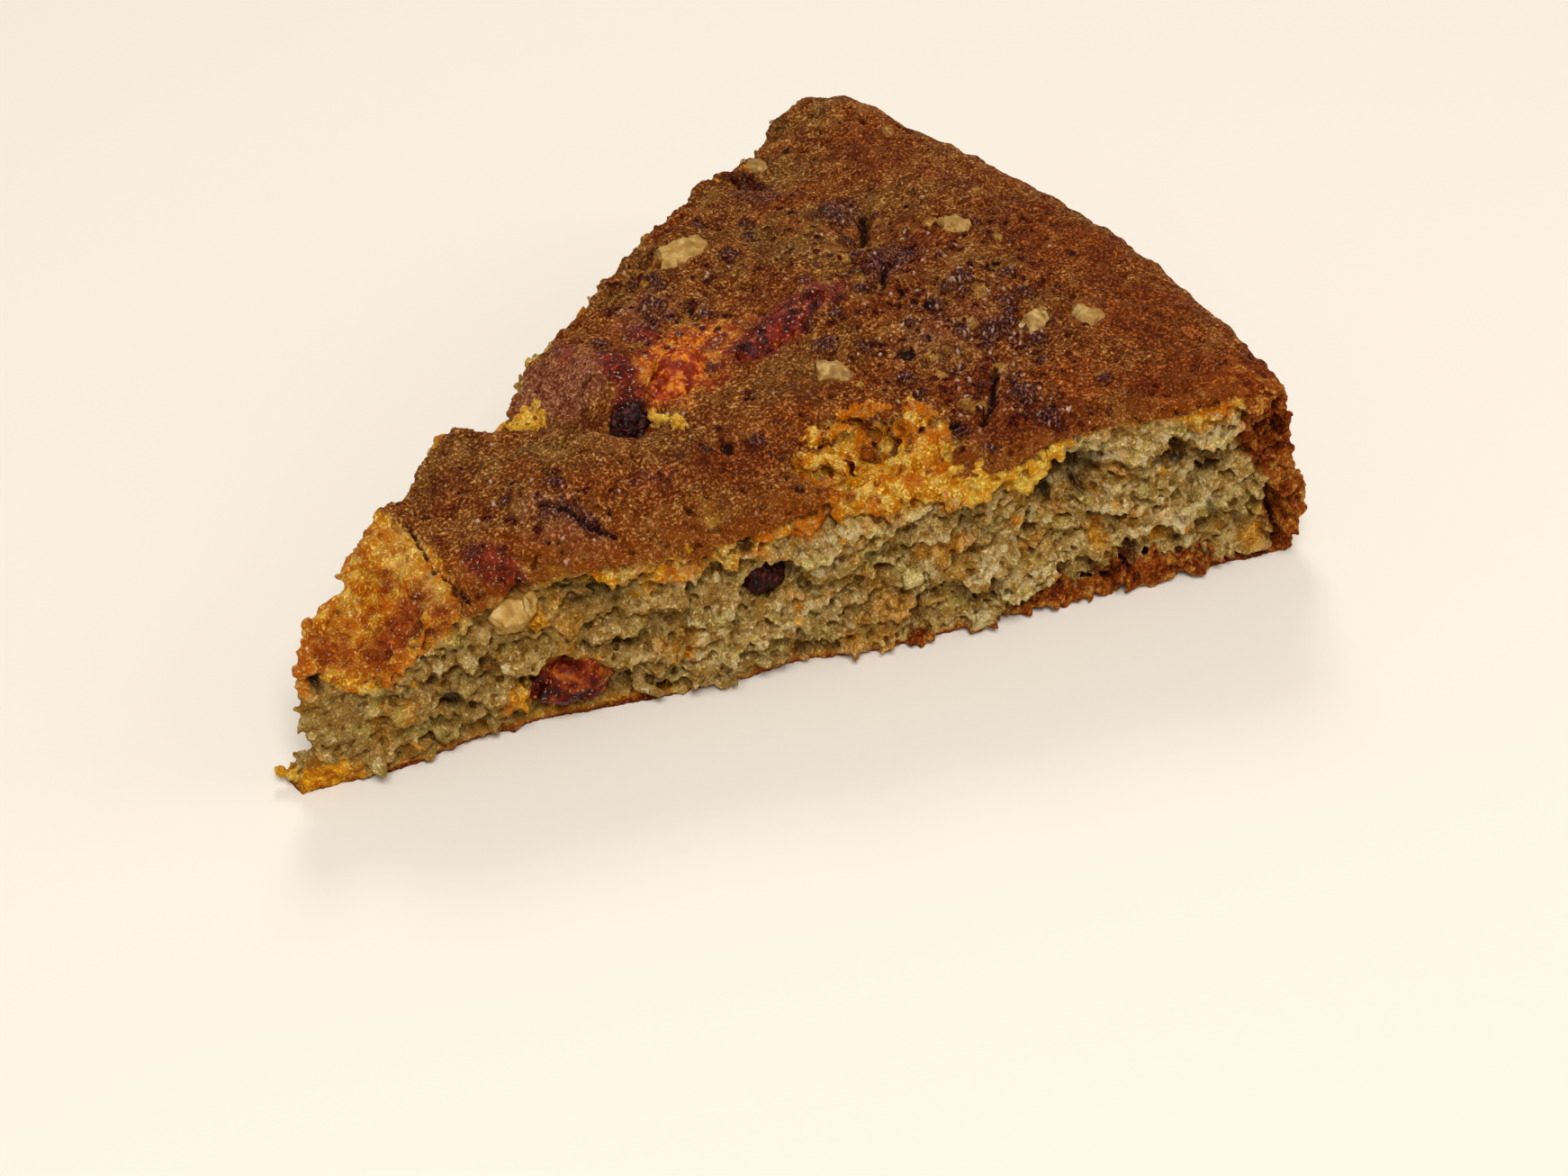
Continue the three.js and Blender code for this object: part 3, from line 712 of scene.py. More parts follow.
print("slice: what each place is")
tree = KDTree(len(allPlaces))
for i, place in enumerate(allPlaces.tolist()):
    tree.insert(place, i)
tree.balance()
tint = np.full(len(points), -0.35)
grainKind = np.zeros(len(points))
for i, point in enumerate(points.tolist()):
    _, found, far = tree.find(point)
    if far < allReach[found] * 1.2:
        tint[i] = 0.7 * allTint[found]
        grainKind[i] = allKind[found]
# The crumb is painted darker towards the tip as shade, and paler where the torn plates stand out and darker
# where they fall back, as painted light and shade.
tint -= 0.75 * (1 - smooth(28, 64, ways["along"]))
tint += 0.8 * plates(points, ways, sliceForm["plateReach"], sliceForm["plateThick"], 2)
tint += 0.5 * plates(points, ways, sliceForm["chipReach"], sliceForm["chipThick"], 7)

# Stains and zones in the crust, by kind: place, half lengths, turn in degrees, and how strong each is.
crustStains = {
    "red": [
        (56.2, 10.2, 4.6, 2.2, 78, 1.0), (54.9, 6.1, 2.6, 2.2, 0, 0.9), (53.6, 18.0, 4.0, 1.6, 60, 0.7),
        (77.4, 3.4, 12.0, 3.4, 7, 0.85), (86.0, 3.6, 4.0, 2.2, 20, 0.7),
        (64.0, 14.6, 2.6, 1.8, -30, 0.9), (24.6, -6.6, 4.2, 2.6, -60, 0.8),
        (47.0, -8.0, 3.4, 1.4, -10, 0.5),
    ],
    "amber": [
        (65.0, 6.4, 9.5, 7.0, 12, 1.0), (60.6, 3.6, 2.4, 1.8, 0, 0.8),
    ],
    "rust": [
        (88.0, -30.0, 11.0, 4.0, -40, 0.9), (90.0, -21.0, 7.0, 4.0, -10, 0.6),
        (106.0, -37.0, 8.0, 3.0, -24, 0.7), (97.0, 3.0, 8.0, 5.0, 20, 0.7),
        (116.0, 2.0, 9.0, 6.0, 60, 0.6), (113.0, -22.0, 10.0, 6.0, 70, 0.4),
        (113.0, 25.0, 12.0, 6.0, -60, 0.4), (56.0, -10.0, 6.0, 3.4, -20, 0.7),
        (27.0, 6.0, 5.0, 3.4, 50, 0.6), (12.6, -3.0, 5.0, 2.5, -10, 1.0), (14.6, 1.6, 1.2, 1.0, 0, 0.8),
        (5.4, -0.2, 3.4, 1.8, -10, 0.8), (17.4, -6.4, 3.0, 1.5, -30, 0.8),
    ],
    # Blush is a paler mauve, partly the crust's colour and partly painted sheen.
    "blush": [
        (50.0, 15.0, 7.0, 5.6, -50, 0.8), (66.0, 18.0, 6.0, 4.0, 0, 0.4),
        (92.0, -12.0, 9.0, 6.0, 0, 0.3), (34.0, -7.0, 6.0, 4.0, -60, 0.4),
    ],
    "plum": [
        (64.4, 15.3, 3.0, 2.2, 0, 0.8), (101.0, 18.5, 4.2, 3.2, 20, 0.6),
        (96.2, 4.4, 5.2, 3.4, 30, 0.75), (68.6, 6.6, 2.2, 1.6, 0, 0.7),
        (35.6, -7.6, 5.2, 1.5, -62, 0.7), (96.0, 30.0, 4.6, 2.4, -60, 0.6),
    ],
    "maroon": [
        (97.2, 34.0, 4.6, 1.8, -70, 0.9), (14.2, -5.2, 1.4, 0.8, 20, 0.6),
    ],
    "dark": [
        (106.2, 35.9, 0.9, 0.7, 0, 1.0), (95.6, 22.8, 0.9, 0.7, 0, 1.0), (53.2, 4.0, 2.8, 2.4, 0, 0.8),
        (84.6, 29.4, 1.2, 0.5, 60, 0.8),
    ],
    "tan": [
        (92.3, 19.0, 11.0, 7.0, 0, 0.8), (103.0, 33.0, 7.0, 5.0, 0, 0.6),
        (70.6, 24.0, 9.0, 5.0, 10, 0.6), (37.0, 1.8, 8.0, 5.0, -30, 0.8),
        (72.0, -4.6, 8.0, 6.0, 0, 0.5), (108.0, 16.0, 8.0, 6.0, 0, 0.4),
    ],
    "orange": [
        (118.0, -9.0, 8.0, 12.0, 0, 0.8), (113.5, -26.0, 9.0, 10.0, 0, 0.9),
        (110.0, -38.0, 11.0, 7.0, -20, 0.9), (96.5, -28.5, 11.0, 5.0, -20, 0.8),
        (90.9, -2.0, 7.0, 4.0, 0, 0.6), (66.0, -12.0, 8.0, 5.0, -10, 0.7),
        (57.0, -12.0, 8.0, 4.0, -20, 0.7), (116.0, 30.0, 7.0, 6.0, 0, 0.7),
        (79.0, 6.0, 10.0, 4.0, 5, 0.5), (29.0, -7.4, 5.0, 3.0, -24, 0.7),
    ],
    "gold": [
        (18.2, 3.0, 3.2, 4.0, 0, 0.9), (17.4, -4.0, 2.4, 3.0, 0, 0.9), (10.0, 2.4, 2.4, 1.4, 0, 0.5),
    ],
}
# Stains in the front cut, by kind: distance from the tip, height, half sizes, and how strong each is. Most
# dark ones sit in the holes, hollows and splits, as painted shade.
cutStains = {
    "carrot": [
        (28.8, 17.6, 1.9, 1.6, 0.9), (109.8, 8.0, 2.2, 1.1, 0.9), (80.5, 22.2, 2.0, 1.4, 0.7),
        (73.1, 19.2, 1.4, 1.4, 0.6), (80.2, 15.6, 4.0, 1.6, 0.55), (68.0, 14.0, 2.0, 0.9, 0.5),
        (46.6, 8.2, 2.2, 1.5, 0.7), (8.9, 9.0, 1.3, 0.7, 0.9), (43.0, 19.4, 1.6, 1.2, 0.6),
        (101.8, 10.0, 1.5, 3.0, 0.6), (27.0, 5.6, 2.6, 1.8, 0.7), (1.0, 2.0, 6.0, 2.4, 1.0),
        (113.8, 26.2, 2.6, 1.6, 0.8), (124.0, 3.6, 2.2, 1.8, 0.6), (92.4, 10.8, 1.2, 0.8, 0.5),
    ],
    "red": [
        (33.0, 7.4, 4.4, 2.4, 0.8),
    ],
    "maroon": [
        (110.9, 20.2, 2.3, 1.2, 0.8), (22.4, 13.0, 1.4, 2.4, 0.5), (106.4, 6.2, 1.6, 1.6, 0.8),
    ],
    "dark": [
        (57.6, 15.5, 2.8, 2.2, 0.8), (55.2, 21.8, 1.3, 1.0, 0.95), (41.3, 21.6, 1.3, 0.9, 0.85),
        (36.0, 18.4, 4.0, 2.6, 0.3), (99.0, 19.8, 3.6, 3.0, 0.5), (99.9, 16.6, 1.0, 0.9, 0.9),
        (95.1, 17.5, 1.4, 1.6, 1.0), (2.6, 15.7, 1.2, 1.2, 1.0), (17.9, 9.8, 1.5, 1.1, 1.0),
        (112.4, 19.2, 1.4, 0.6, 0.9), (116.2, 16.7, 1.9, 0.8, 0.9), (116.3, 11.9, 0.8, 1.2, 0.8),
        (117.6, 8.8, 0.9, 1.3, 0.8), (38.0, 20.0, 1.6, 1.0, 0.8), (33.4, 20.6, 1.4, 1.0, 0.8),
        (70.4, 17.4, 1.2, 0.7, 0.7), (12.6, 1.4, 0.5, 0.4, 1.0),
    ],
}
pitSpecks = inPit * smooth(-0.05, 0.3, wobble + 0.5 * fineWobble)
stains["maroon"] = np.maximum(stains["maroon"], 0.75 * pitSpecks)
softKinds = {"orange", "tan", "gold", "rust", "amber", "blush"}
for kind, spots in crustStains.items():
    for x, y, length, width, turn, strength in spots:
        along, across = turned(ways, x, y, turn)
        way = np.hypot(along / length, across / width)
        if kind in softKinds:
            stain = 1 - smooth(0.4, 1.25, way + 0.3 * broadWobble + 0.25 * wobble)
        else:
            stain = 1 - smooth(0.6, 1.15, way + 0.22 * wobble + 0.12 * fineWobble)
        stain = strength * stain * (1 - smooth(2.5, 4, skins["top"]))
        stains[kind] = np.maximum(stains[kind], stain)
for kind, spots in cutStains.items():
    for along, height, length, rise, strength in spots:
        way = np.hypot((ways["along"] - along) / length, (points[:, 2] - height) / rise)
        stain = strength * (1 - smooth(0.45, 1.2, way + 0.3 * wobble + 0.2 * fineWobble)) * isFront
        stains[kind] = np.maximum(stains[kind], stain)
isToasted, isBrowned, isShred, isGolden = (
    grainKind == crumbKinds[kind] for kind in ("toasted", "browned", "shred", "golden"))
stains["carrot"] = np.maximum(stains["carrot"], 0.8 * isShred)

# The torn tip reaches down the front cut to this line of (distance from the tip, height).
tornReach = [(-4, 15.6), (1.5, 16.2), (11, 16.0), (14.4, 17.9), (17.8, 19.0), (21.2, 21.4), (24, 26)]
tornFoot = np.interp(ways["along"], *zip(*tornReach))
tornSide = smooth(-0.7, 0.7, points[:, 2] - tornFoot + 0.8 * wobble) * (ways["radius"] < 24)
torn = np.maximum(tornZone * onTop, tornSide * tornZone)
# The lip of crust that hangs over the hollow in the front cut, down to this line.
lipReach = [(76, 25.5), (78, 24.0), (84, 22.6), (88, 22.2), (92, 21.0), (94.6, 19.4), (95.2, 23.5), (96, 26)]
lipFoot = np.interp(ways["along"], *zip(*lipReach))
lip = smooth(-0.5, 0.5, points[:, 2] - lipFoot + 0.6 * wobble) * isFront
lip *= (ways["along"] > 75) * (ways["along"] < 97)
stains["gold"] = np.maximum(stains["gold"], lip * (ways["along"] > 82))
# Under the crust the crumb is toasted, as thick as this along the front cut: (distance from the tip, depth).
toastReach = [(20, 2.0), (30, 2.2), (45, 3.0), (62, 3.4), (84, 2.8), (96, 0.7), (105, 0.3), (112, 1.1),
              (118, 2.2), (124, 3.0)]
toastThick = np.where(ways["onFront"], np.interp(ways["along"], *zip(*toastReach)), 2.0)
toastDepth = skins["top"] + 0.9 * wobble + 0.5 * fineWobble + 1.5 * broadWobble - toastThick
toast = (1 - smooth(-0.4, 1.2, toastDepth)) * (1 - 0.5 * smooth(0.0, 0.5, broadWobble + 0.4 * wobble))
toast = np.maximum(toast, 0.8 * (1 - smooth(1.0, 3.6, skins["rim"] + 0.8 * wobble)))
toast = np.maximum(toast, 0.75 * (1 - smooth(0.8, 2.0, skins["base"] + 0.6 * wobble)))
toast = np.maximum(toast, np.maximum(lip, inPatch))
toast = np.maximum(toast, torn)
toast = np.maximum(toast, isToasted | isGolden)
stains["gold"] = np.maximum(stains["gold"], isGolden)
browned = np.maximum(isTop * (1 - tornZone), np.maximum(isRim, isBase)) * ~(isToasted | isGolden)
browned *= 1 - 0.8 * lip * (points[:, 2] < 25.4)
masks = {
    "crust": np.maximum(browned, isBrowned),
    "rimCrust": isRim,
    "baseCrust": np.maximum(isBase, isBrowned * (1 - isTop)),
    "toast": toast,
    "torn": torn,
    "edgeWarm": 1 - smooth(0.8, 7, ways["front"] + 1.6 * wobble),
    "hollow": hollow,
    "tint": tint,
    # Shade painted dark in the cracks, splits and grooves.
    "split": crackShade,
    **stains,
}
writeShares(cake.data, masks)

print("materials")


# A hex colour as the linear one that the nodes take.
def colour(text):
    parts = [int(text[i:i + 2], 16) / 255 for i in (1, 3, 5)]
    return [v / 12.92 if v <= 0.04045 else ((v + 0.055) / 1.055) ** 2.4 for v in parts] + [1]


# Adds a node with its settings and inputs: numbers, hex colours, or outputs to link. Returns the output to
# use. A ramp's stops are places with their colours.
def put(tree, kind, inputs=None, out=0, stops=(), **settings):
    made = tree.nodes.new("ShaderNode" + kind)
    for name, value in settings.items():
        setattr(made, name, value)
    for name, value in (inputs or {}).items():
        if isinstance(value, bpy.types.NodeSocket):
            tree.links.new(value, made.inputs[name])
        else:
            made.inputs[name].default_value = colour(value) if isinstance(value, str) else value
    if stops:
        elements = made.color_ramp.elements
        while len(elements) < len(stops):
            elements.new(0.5)
        for element, (at, tone) in zip(elements, stops):
            element.position = at
            element.color = colour(tone)
    return made.outputs[out] if made.outputs else None


# A material with the values that its piece carries and its own patterns. A pattern is noise on the object, by
# the size of one lump in millimetres, detail and roughness, then the two values that are made 0 and 1.
def newMaterial(name, carried, patterns):
    made = bpy.data.materials.new(name)
    made.use_nodes = True
    tree = made.node_tree
    tree.nodes.clear()
    place = put(tree, "TexCoord", out="Object")
    place = put(tree, "VectorMath", {0: place, 1: (1000, 1000, 1000)}, operation="MULTIPLY")
    found = {own: put(tree, "Attribute", out="Fac", attribute_name=own) for own in carried}
    for pattern, (size, detail, roughness, *spread) in patterns.items():
        inputs = {"Vector": place, "Scale": 1 / size, "Detail": detail, "Roughness": roughness}
        found[pattern] = put(tree, "TexNoise", inputs, out="Fac")
        if spread:
            inputs = {"Value": found[pattern], "From Min": spread[0], "From Max": spread[1]}
            found[pattern] = put(tree, "MapRange", inputs, interpolation_type="SMOOTHSTEP")
    return made, tree, found


# Lays tones over a first one. Each row: what says where, the values it runs between, how much at most, and
# the tone, which is a colour, a found tone, or colours along a pattern; then a blend if it isn't plain.
def coats(tree, found, tone, rows):
    for source, low, high, most, over, *blend in rows:
        inputs = {"Value": found[source], "From Min": low, "From Max": high, "To Max": most}
        ease = "LINEAR" if (low, high) == (0, 1) else "SMOOTHSTEP"
        share = put(tree, "MapRange", inputs, interpolation_type=ease)
        if isinstance(over, tuple):
            over = put(tree, "ValToRGB", {"Fac": found[over[0]]}, stops=over[1:])
        blendType = blend[0] if blend else "MIX"
        inputs = {0: share, 6: tone, 7: found.get(over, over) if isinstance(over, str) else over}
        tone = put(tree, "Mix", inputs, out=2, data_type="RGBA", blend_type=blendType)
    return tone


# The surface, and a fine relief from a pattern, by its strength and its depth in metres.
def finishMaterial(tree, inputs, relief=None, strength=1.0, depth=0.0003):
    if relief:
        inputs["Normal"] = put(tree, "Bump", {"Height": relief, "Strength": strength, "Distance": depth})
    surface = put(tree, "BsdfPrincipled", inputs)
    put(tree, "OutputMaterial", {"Surface": surface})


# Baked cake: a brown skin with a grain of sugar and flour, a yellow-orange layer toasted under it, and pale
# open crumb within. The crumb is dry and soft; the skin is matt, wet where fruit lies, with small glints
# painted into its colour as highlights.
def bakedCake():
    made, tree, found = newMaterial("bakedCake", masks, {
        "fine": (0.4, 3, 0.65, 0.34, 0.66), "middle": (1.6, 3, 0.55, 0.34, 0.66), "patchy": (3.4, 3, 0.55),
        "wide": (7.5, 3, 0.55), "spark": (0.42, 1, 0.5, 0.64, 0.72), "grain": (0.2, 2, 0.6),
    })
    fine, middle = found["fine"], found["middle"]
    found["both"] = put(tree, "Mix", {0: 0.4, 2: middle, 3: fine})
    found["grainy"] = put(tree, "Mix", {0: 0.7, 2: middle, 3: fine})
    # The crumb's tint, with its painted light and shade, also makes the rim and base crust uneven.
    tintAndShadeShare = put(tree, "MapRange", {"Value": found["tint"], "From Min": -1.1, "From Max": 1.1},
                    interpolation_type="SMOOTHSTEP")
    found["uneven"] = put(tree, "Mix", {0: 0.5, 2: found["both"], 3: tintAndShadeShare})

    # The open crumb, paler and darker crumb by crumb, paler where torn plates stand out and darker where they
    # fall back and towards the tip as painted light and shade, and brown in its hollows as painted shade.
    base = put(tree, "ValToRGB", {"Fac": found["both"]},
               stops=((0.1, "#9c6e28"), (0.5, "#c2964a"), (0.9, "#e4c27c")))
    crumbTone = coats(tree, found, base, [
        ("tint", -0.1, 1.1, 0.9, "#f0d8a0"),
        ("tint", -0.1, -1.0, 0.5, "#9a6e2c"),
        ("wide", 0.5, 0.64, 0.65, "#c07e20", "COLOR"),
        ("patchy", 0.49, 0.36, 0.5, "#8c7c3e", "COLOR"),
        ("hollow", 0.15, 1.0, 0.8, "#6c3e0a"),
    ])
    # The toasted layer under the crust, with shade painted darker in its hollows.
    base = put(tree, "ValToRGB", {"Fac": found["both"]},
               stops=((0.1, "#c26c08"), (0.5, "#ea9e18"), (0.9, "#fed46c")))
    found["toastTone"] = coats(tree, found, base, [
        ("patchy", 0.47, 0.57, 0.75, "#d06406"),
        ("gold", 0, 1, 1, ("both", (0.1, "#e29008"), (0.9, "#ffd65a"))),
        ("hollow", 0.2, 1.0, 0.65, "#7c3204"),
    ])
    # The torn tip, moist and orange, with shade painted darker in its hollows.
    base = put(tree, "ValToRGB", {"Fac": found["both"]},
               stops=((0.1, "#c05c06"), (0.5, "#e08c12"), (0.9, "#fac84c")))
    found["tornTone"] = coats(tree, found, base, [
        ("patchy", 0.46, 0.6, 0.65, "#d06006"),
        ("gold", 0, 1, 1, ("both", (0.1, "#d8860e"), (0.9, "#fccc64"))),
        ("rust", 0, 1, 1, ("both", (0.1, "#782602"), (0.9, "#c05c18"))),
        ("hollow", 0.2, 1.0, 0.6, "#8a2e02"),
    ])
    # The crust, browner on the rim and the base, with shade painted darker in its hollows.
    for name, low, high, most in (("tan", 0.5, 0.66, 0.6), ("orange", 0.48, 0.34, 0.7)):
        inputs = {"Value": found["wide"], "From Min": low, "From Max": high, "To Max": most}
        share = put(tree, "MapRange", inputs, interpolation_type="SMOOTHSTEP")
        found[name + "Share"] = put(tree, "Math", {0: found[name], 1: share}, operation="MAXIMUM")
    found["outer"] = put(tree, "Math", {0: found["rimCrust"], 1: found["baseCrust"]}, operation="MAXIMUM")
    base = put(tree, "ValToRGB", {"Fac": found["grainy"]}, stops=(
        (0.0, "#441404"), (0.36, "#7a360a"), (0.64, "#985416"), (1.0, "#cc9450")))
    found["crustTone"] = coats(tree, found, base, [
        ("tanShare", 0, 1, 0.75, "#8c642c", "COLOR"),
        ("orangeShare", 0, 1, 0.75, "#a04408", "COLOR"),
        ("patchy", 0.5, 0.64, 0.5, "#5c2006"),
        ("patchy", 0.46, 0.34, 0.22, "#b87a3c"),
        ("edgeWarm", 0, 1, 0.4, "#a44e08"),
        ("outer", 0, 1, 0.85, (
            "uneven", (0.1, "#4a1204"), (0.36, "#8a360a"), (0.6, "#ae5a14"), (0.85, "#d8983e"))),
        # Paler mauve, partly colour and partly painted sheen.
        ("blush", 0, 1, 1, ("grainy", (0.1, "#702a12"), (0.9, "#c07850"))),
        ("rust", 0, 1, 0.8, ("grainy", (0.1, "#3c0e03"), (0.9, "#8c340c"))),
        ("hollow", 0.1, 0.9, 0.7, "#340f03"),
    ])
    # The zones over the crumb, then what stains them; the dark marks are dark spots, and in the front cut
    # mostly painted shade.
    inputs = {"Value": middle, "From Min": 0.1, "From Max": 0.7, "To Min": 0.7}
    plumGrain = put(tree, "MapRange", inputs, interpolation_type="SMOOTHSTEP")
    found["plumShare"] = put(tree, "Math", {0: found["plum"], 1: plumGrain}, operation="MULTIPLY")
    tone = coats(tree, found, crumbTone, [
        ("toast", 0, 1, 1, "toastTone"),
        ("torn", 0, 1, 1, "tornTone"),
        ("crust", 0, 1, 1, "crustTone"),
        ("carrot", 0, 1, 1, ("both", (0.1, "#c26804"), (0.9, "#ffb422"))),
        ("ochre", 0, 1, 1, ("both", (0.1, "#8e5212"), (0.9, "#cc9644"))),
        ("amber", 0, 1, 1, ("both", (0.1, "#a03000"), (0.5, "#d45804"), (0.9, "#f49a24"))),
        ("maroon", 0, 1, 1, ("fine", (0.1, "#1c0403"), (0.9, "#641a0c"))),
        ("plumShare", 0, 1, 1, ("grainy", (0.1, "#180403"), (0.5, "#3e100a"), (0.9, "#905444"))),
        ("red", 0, 1, 1, ("both", (0.1, "#400602"), (0.9, "#982606"))),
        ("dark", 0, 1, 0.9, "#1c0804"),
        # Pale specks painted as highlights.
        ("glint", 0, 1, 1, "#e4b898"),
        # Shade painted dark in the cracks, splits and grooves.
        ("split", 0.2, 0.9, 0.85, "#220a04"),
    ])
    # Highlights of syrup and sugar are painted into the colour in points, more where the fruit has wept.
    wet = found["red"]
    for name, most in (("plum", 0.4), ("amber", 1), ("torn", 0.45), ("glint", 1), ("blush", 0.5)):
        share = put(tree, "Math", {0: found[name], 1: most}, operation="MULTIPLY")
        wet = put(tree, "Math", {0: wet, 1: share}, operation="MAXIMUM")
    share = put(tree, "Math", {0: wet, 1: 0.6, 2: 0.2}, operation="MULTIPLY_ADD")
    found["sparks"] = put(tree, "Math", {0: found["spark"], 1: share}, operation="MULTIPLY")
    inputs = {0: found["crust"], 6: "#fff0c8", 7: "#f4c8a4"}
    found["sparkTone"] = put(tree, "Mix", inputs, out=2, data_type="RGBA")
    tone = coats(tree, found, tone, [("sparks", 0, 1, 1, "sparkTone")])

    inputs = {"Value": found["grain"], "From Min": 0.5, "From Max": 0.66, "To Max": 0.4}
    glaze = put(tree, "MapRange", inputs, interpolation_type="SMOOTHSTEP")
    glaze = put(tree, "Math", {0: glaze, 1: found["crust"]}, operation="MULTIPLY")
    gloss = put(tree, "Math", {0: wet, 1: glaze}, operation="MAXIMUM")
    rough, shine = (put(tree, "MapRange", {"Value": gloss, "To Min": dry, "To Max": most},
                        interpolation_type="SMOOTHSTEP") for dry, most in ((0.75, 0.22), (0.04, 0.22)))
    height = put(tree, "Math", {0: found["grain"], 1: 0.45, 2: fine}, operation="MULTIPLY_ADD")
    finishMaterial(tree, {"Base Color": tone, "Roughness": rough, "Specular IOR Level": shine}, height)
    return made


# Nut: pale waxy flesh with faint streaks, browned at its broken edges; light goes a little way in.
def nutFlesh():
    made, tree, found = newMaterial("nutFlesh", ("pale", "side"), {
        "streak": (1.4, 3, 0.55), "fine": (0.35, 3, 0.55), "wide": (9.0, 1, 0.55),
    })
    base = put(tree, "ValToRGB", {"Fac": found["streak"]},
               stops=((0.36, "#74501c"), (0.5, "#946c32"), (0.64, "#b89858")))
    tone = coats(tree, found, base, [
        ("pale", 0, 1, 1, ("streak", (0.36, "#9c722a"), (0.5, "#c29a50"), (0.64, "#d8ba7c"))),
        ("wide", 0.45, 0.6, 0.4, "#a87c2c"),
        ("side", 0, 1, 0.8, "#7c4a14"),
        ("fine", 0.56, 0.7, 0.6, "#8a5a20"),
    ])
    inputs = {
        "Base Color": tone, "Roughness": 0.5, "Specular IOR Level": 0.25, "Subsurface Weight": 0.2,
        "Subsurface Radius": (0.0012, 0.0008, 0.0004), "Subsurface Scale": 1.0,
    }
    finishMaterial(tree, inputs, found["fine"], 0.6, 0.0002)
    return made


# Raisin: dark wrinkled skin with a dull shine, reddish where it is thin.
def raisinSkin():
    made, tree, found = newMaterial("raisinSkin", (), {"fine": (0.7, 3, 0.55)})
    tone = put(tree, "ValToRGB", {"Fac": found["fine"]},
               stops=((0.35, "#140402"), (0.55, "#2c0a05"), (0.75, "#642012")))
    inputs = {"Base Color": tone, "Roughness": 0.4, "Specular IOR Level": 0.12}
    finishMaterial(tree, inputs, found["fine"], 0.6, 0.0002)
    return made


# Candied fruit: soft translucent flesh under a film of syrup, amber where it is pale and dark red elsewhere,
# with highlights painted in points.
def candiedFruit():
    made, tree, found = newMaterial("candiedFruit", ("pale",), {
        "blotch": (1.8, 3, 0.55, 0.36, 0.64), "fine": (0.5, 3, 0.55), "spark": (0.45, 1, 0.5, 0.65, 0.72),
    })
    base = put(tree, "ValToRGB", {"Fac": found["blotch"]},
               stops=((0.1, "#280402"), (0.5, "#4c0b02"), (0.9, "#741c04")))
    tone = coats(tree, found, base, [
        ("pale", 0, 1, 1, ("blotch", (0.1, "#7c2202"), (0.5, "#a64004"), (0.9, "#ce7a12"))),
        ("fine", 0.56, 0.72, 0.3, "#3c0802"),
        ("spark", 0, 1, 0.5, "#e49a70"),
    ])
    inputs = {"Base Color": tone, "Roughness": 0.25, "Specular IOR Level": 0.12}
    finishMaterial(tree, inputs, found["fine"], 0.8)
    return made


sliceMaterial = bakedCake()
pieceMaterials = {"nut": nutFlesh(), "raisin": raisinSkin(), "fruit": candiedFruit()}


# Puts a finished piece in the frame: metres, at rest on the cake's body.
def place(piece, node, slotName, material):
    writePoints(piece.data, (readPoints(piece.data) + tipPlace) * mm)
    piece.data.materials.clear()
    piece.data.materials.append(material)
    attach(piece, "root")
    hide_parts(node)


print("slice: pieces")
# The slice in closed lengths, each light enough to handle.
sliceCuts = (32, 51, 66, 80, 93.5, 106.5, 119)
whole = bmesh.new()
whole.from_mesh(cake.data)
bpy.data.objects.remove(cake)
for i, (low, high) in enumerate(zip((None, *sliceCuts), (*sliceCuts, None))):
    form = whole.copy()
    for limit, side in ((low, 1), (high, -1)):
        if limit is None:
            continue
        every = form.verts[:] + form.edges[:] + form.faces[:]
        cut = bmesh.ops.bisect_plane(
            form, geom=every, plane_co=(limit, 0, 0), plane_no=(-side, 0, 0), clear_outer=True)
        seam = [e for e in cut["geom_cut"] if isinstance(e, bmesh.types.BMEdge)]
        bmesh.ops.dissolve_degenerate(form, dist=0.01, edges=seam)
        seam = [e for e in form.edges if e.is_boundary]
        bmesh.ops.triangle_fill(form, edges=seam, use_beauty=False, use_dissolve=False, normal=(-side, 0, 0))
        for edge in seam:
            edge.smooth = False
    name = "cakePart" + "ABCDEFGH"[i]
    mesh = bpy.data.meshes.new(name)
    bmesh.ops.delete(form, geom=[e for e in form.edges if not e.link_faces], context="EDGES")
    bmesh.ops.holes_fill(form, edges=[e for e in form.edges if e.is_boundary], sides=0)
    openEdges = sum(len(e.link_faces) != 2 for e in form.edges)
    form.to_mesh(mesh)
    form.free()
    place(newObject(name, mesh), "cake_slice", "cake", sliceMaterial)
    print(name, len(mesh.loops) - 2 * len(mesh.polygons), openEdges)
whole.free()

print("nuts and fruit")
# Grow is how far a piece swells from its CAD form, sway how unevenly, sink how far it goes down into the
# cake, facets how many breaks it has, wrinkle and its size the folds, and fine the smallest relief.
pieceForms = {
    "nut": {"voxel": 0.16, "grow": 0.5, "sway": 0.85, "sink": 0.75, "facets": 9, "wrinkle": 0.42, "size": 1.8,
            "fine": 0.1},
    "raisin": {"voxel": 0.15, "grow": 0.3, "sway": 0.3, "sink": 0.2, "facets": 0, "wrinkle": 0.7, "size": 1.1,
               "fine": 0.06},
    "fruit": {"voxel": 0.17, "grow": 0.6, "sway": 0.6, "sink": 0.45, "facets": 0, "wrinkle": 0.7, "size": 1.5,
              "fine": 0.1},
}
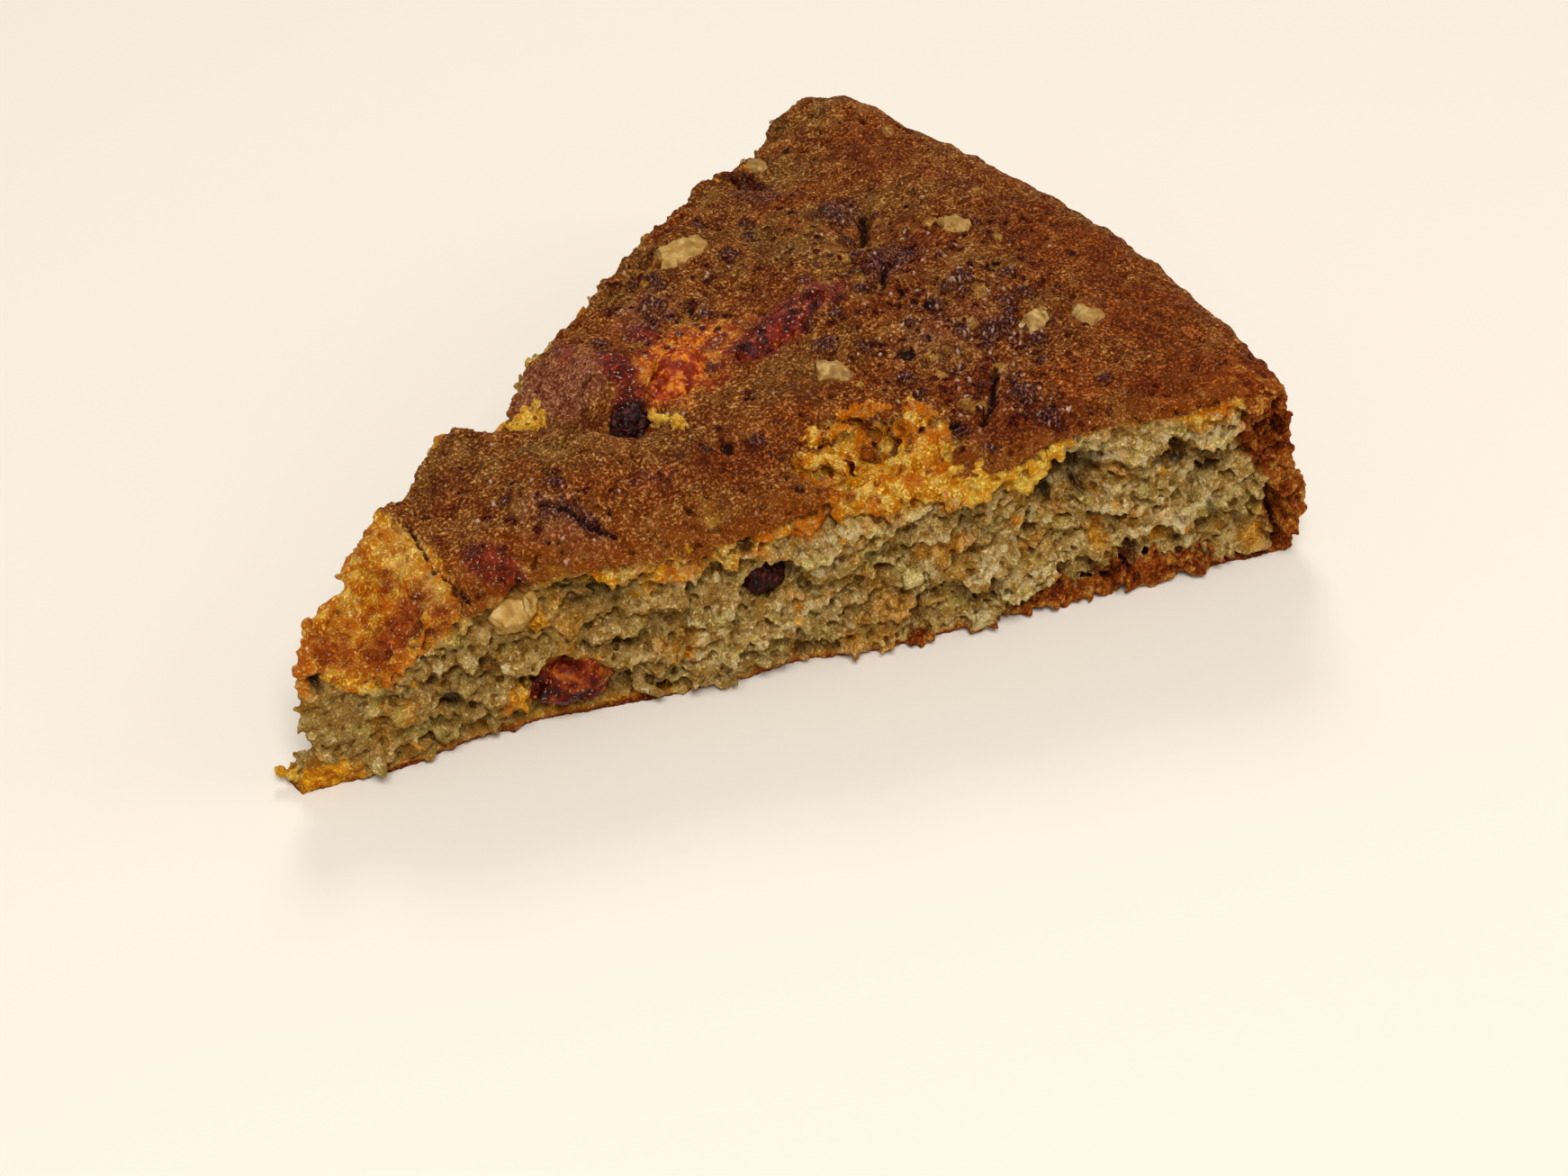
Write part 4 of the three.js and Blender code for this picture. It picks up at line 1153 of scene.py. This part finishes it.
# What differs piece by piece: how far it swells and sinks, and how pale it is.
pieceOwn = {
    "nut_front_edge": {"grow": 1.1, "sink": 0.3, "pale": 1.0},
    "nut_sliver_back": {"sink": 0.5, "pale": 0.45},
    "raisin_cut": {"sink": 0.9},
    "fruit_top": {"grow": 0.9, "sink": 0.7, "pale": 1.0},
    "fruit_strip_top": {"sink": 0.6},
    "fruit_cut": {"grow": 0.8, "sink": 0.8, "paleTop": 0.6},
}
for nodeName in sorted(inFront + inTop):
    first, *others = nodeName.split("_")
    traits = {"pale": 0, "paleTop": 0, **pieceForms[first], **pieceOwn.get(nodeName, {})}
    made = copyOfNode(nodeName, first + "".join(word.capitalize() for word in others))
    fuse(made, traits["voxel"])
    points, normals = readPoints(made.data), readNormals(made.data)
    middle = points.mean(axis=0)
    points = points + normals * (traits["grow"] + traits["sway"] * lumps(points, 2.6, 2, 30))[:, None]
    # Where a break lies, as a share of the way out from the middle.
    shallow, deep = (0.5, 0.78) if nodeName in inFront else (0.66, 0.9)
    for _ in range(traits["facets"]):
        direction = draw.normal(size=3)
        direction /= np.linalg.norm(direction)
        over = (points - middle) @ direction
        past = np.maximum(0, over - draw.uniform(shallow, deep) * over.max())
        points = points - past[:, None] * direction
    ridge = np.abs(lumps(points, traits["size"], 2, 31)) - 0.25
    fold = traits["fine"] * lumps(points, 0.5, 2, 32) - traits["wrinkle"] * ridge
    points = points + normals * fold[:, None]
    away = np.array((sinHalf, cosHalf, 0)) if nodeName in inFront else np.array((0, 0, -1))
    points = points + traits["sink"] * away
    writePoints(made.data, points)
    outFacing = -readNormals(made.data) @ away
    tall = (points[:, 2] - middle[2]) / (points[:, 2].max() - middle[2])
    pale = traits["pale"] + traits["paleTop"] * tall + 0.5 * lumps(points, 3.0, 2, 34)
    writeShares(made.data, {
        "side": 1 - smooth(0.1, 0.75, outFacing + 0.3 * lumps(points, 1.2, 2, 33)),
        "pale": np.clip(pale, 0, 1),
    })
    place(made, nodeName, first, pieceMaterials[first])

print("floor, light and camera")
floorMesh = bpy.data.meshes.new("floor")
form = bmesh.new()
bmesh.ops.create_grid(form, x_segments=1, y_segments=1, size=3)
form.to_mesh(floorMesh)
form.free()
floor = newObject("floor", floorMesh)
paper, tree, _ = newMaterial("palePaper", (), {})
finishMaterial(tree, {"Base Color": "#e6ddcf", "Roughness": 0.9, "Specular IOR Level": 0.1})
floorMesh.materials.append(paper)

lamps = {
    "key": {"at": (-0.28, -0.42, 0.86), "size": 0.42, "power": 7.8},
    "back": {"at": (0.42, 0.6, 0.74), "size": 0.3, "power": 3.0},
    "side": {"at": (0.75, -0.5, 0.45), "size": 0.6, "power": 1.6},
}
for name, lamp in lamps.items():
    light = bpy.data.lights.new(name, "AREA")
    light.size = lamp["size"]
    light.energy = lamp["power"]
    made = bpy.data.objects.new(name, light)
    bpy.context.scene.collection.objects.link(made)
    made.location = lamp["at"]
    made.rotation_euler = (-made.location).to_track_quat("-Z", "Y").to_euler()
world = bpy.data.worlds.new("studio")
bpy.context.scene.world = world
world.use_nodes = True
world.node_tree.nodes["Background"].inputs["Color"].default_value = colour("#f4f2ee")
world.node_tree.nodes["Background"].inputs["Strength"].default_value = 0.4

right = Vector((0.75800, -0.65223, -0.00606))
up = Vector((0.43842, 0.50259, 0.74512))
ahead = Vector((0.48294, 0.56745, -0.66691))
eye = Vector((-166.380, -206.652, 232.281)) * mm
lens = bpy.data.cameras.new("camera")
lens.lens = 62.0
lens.sensor_width = 36
camera = bpy.data.objects.new("camera", lens)
bpy.context.scene.collection.objects.link(camera)
camera.matrix_world = Matrix.Translation(eye) @ Matrix((right, up, -ahead)).transposed().to_4x4()
bpy.context.scene.camera = camera
bpy.context.scene.view_settings.view_transform = "Standard"
bpy.context.scene.view_settings.look = "None"
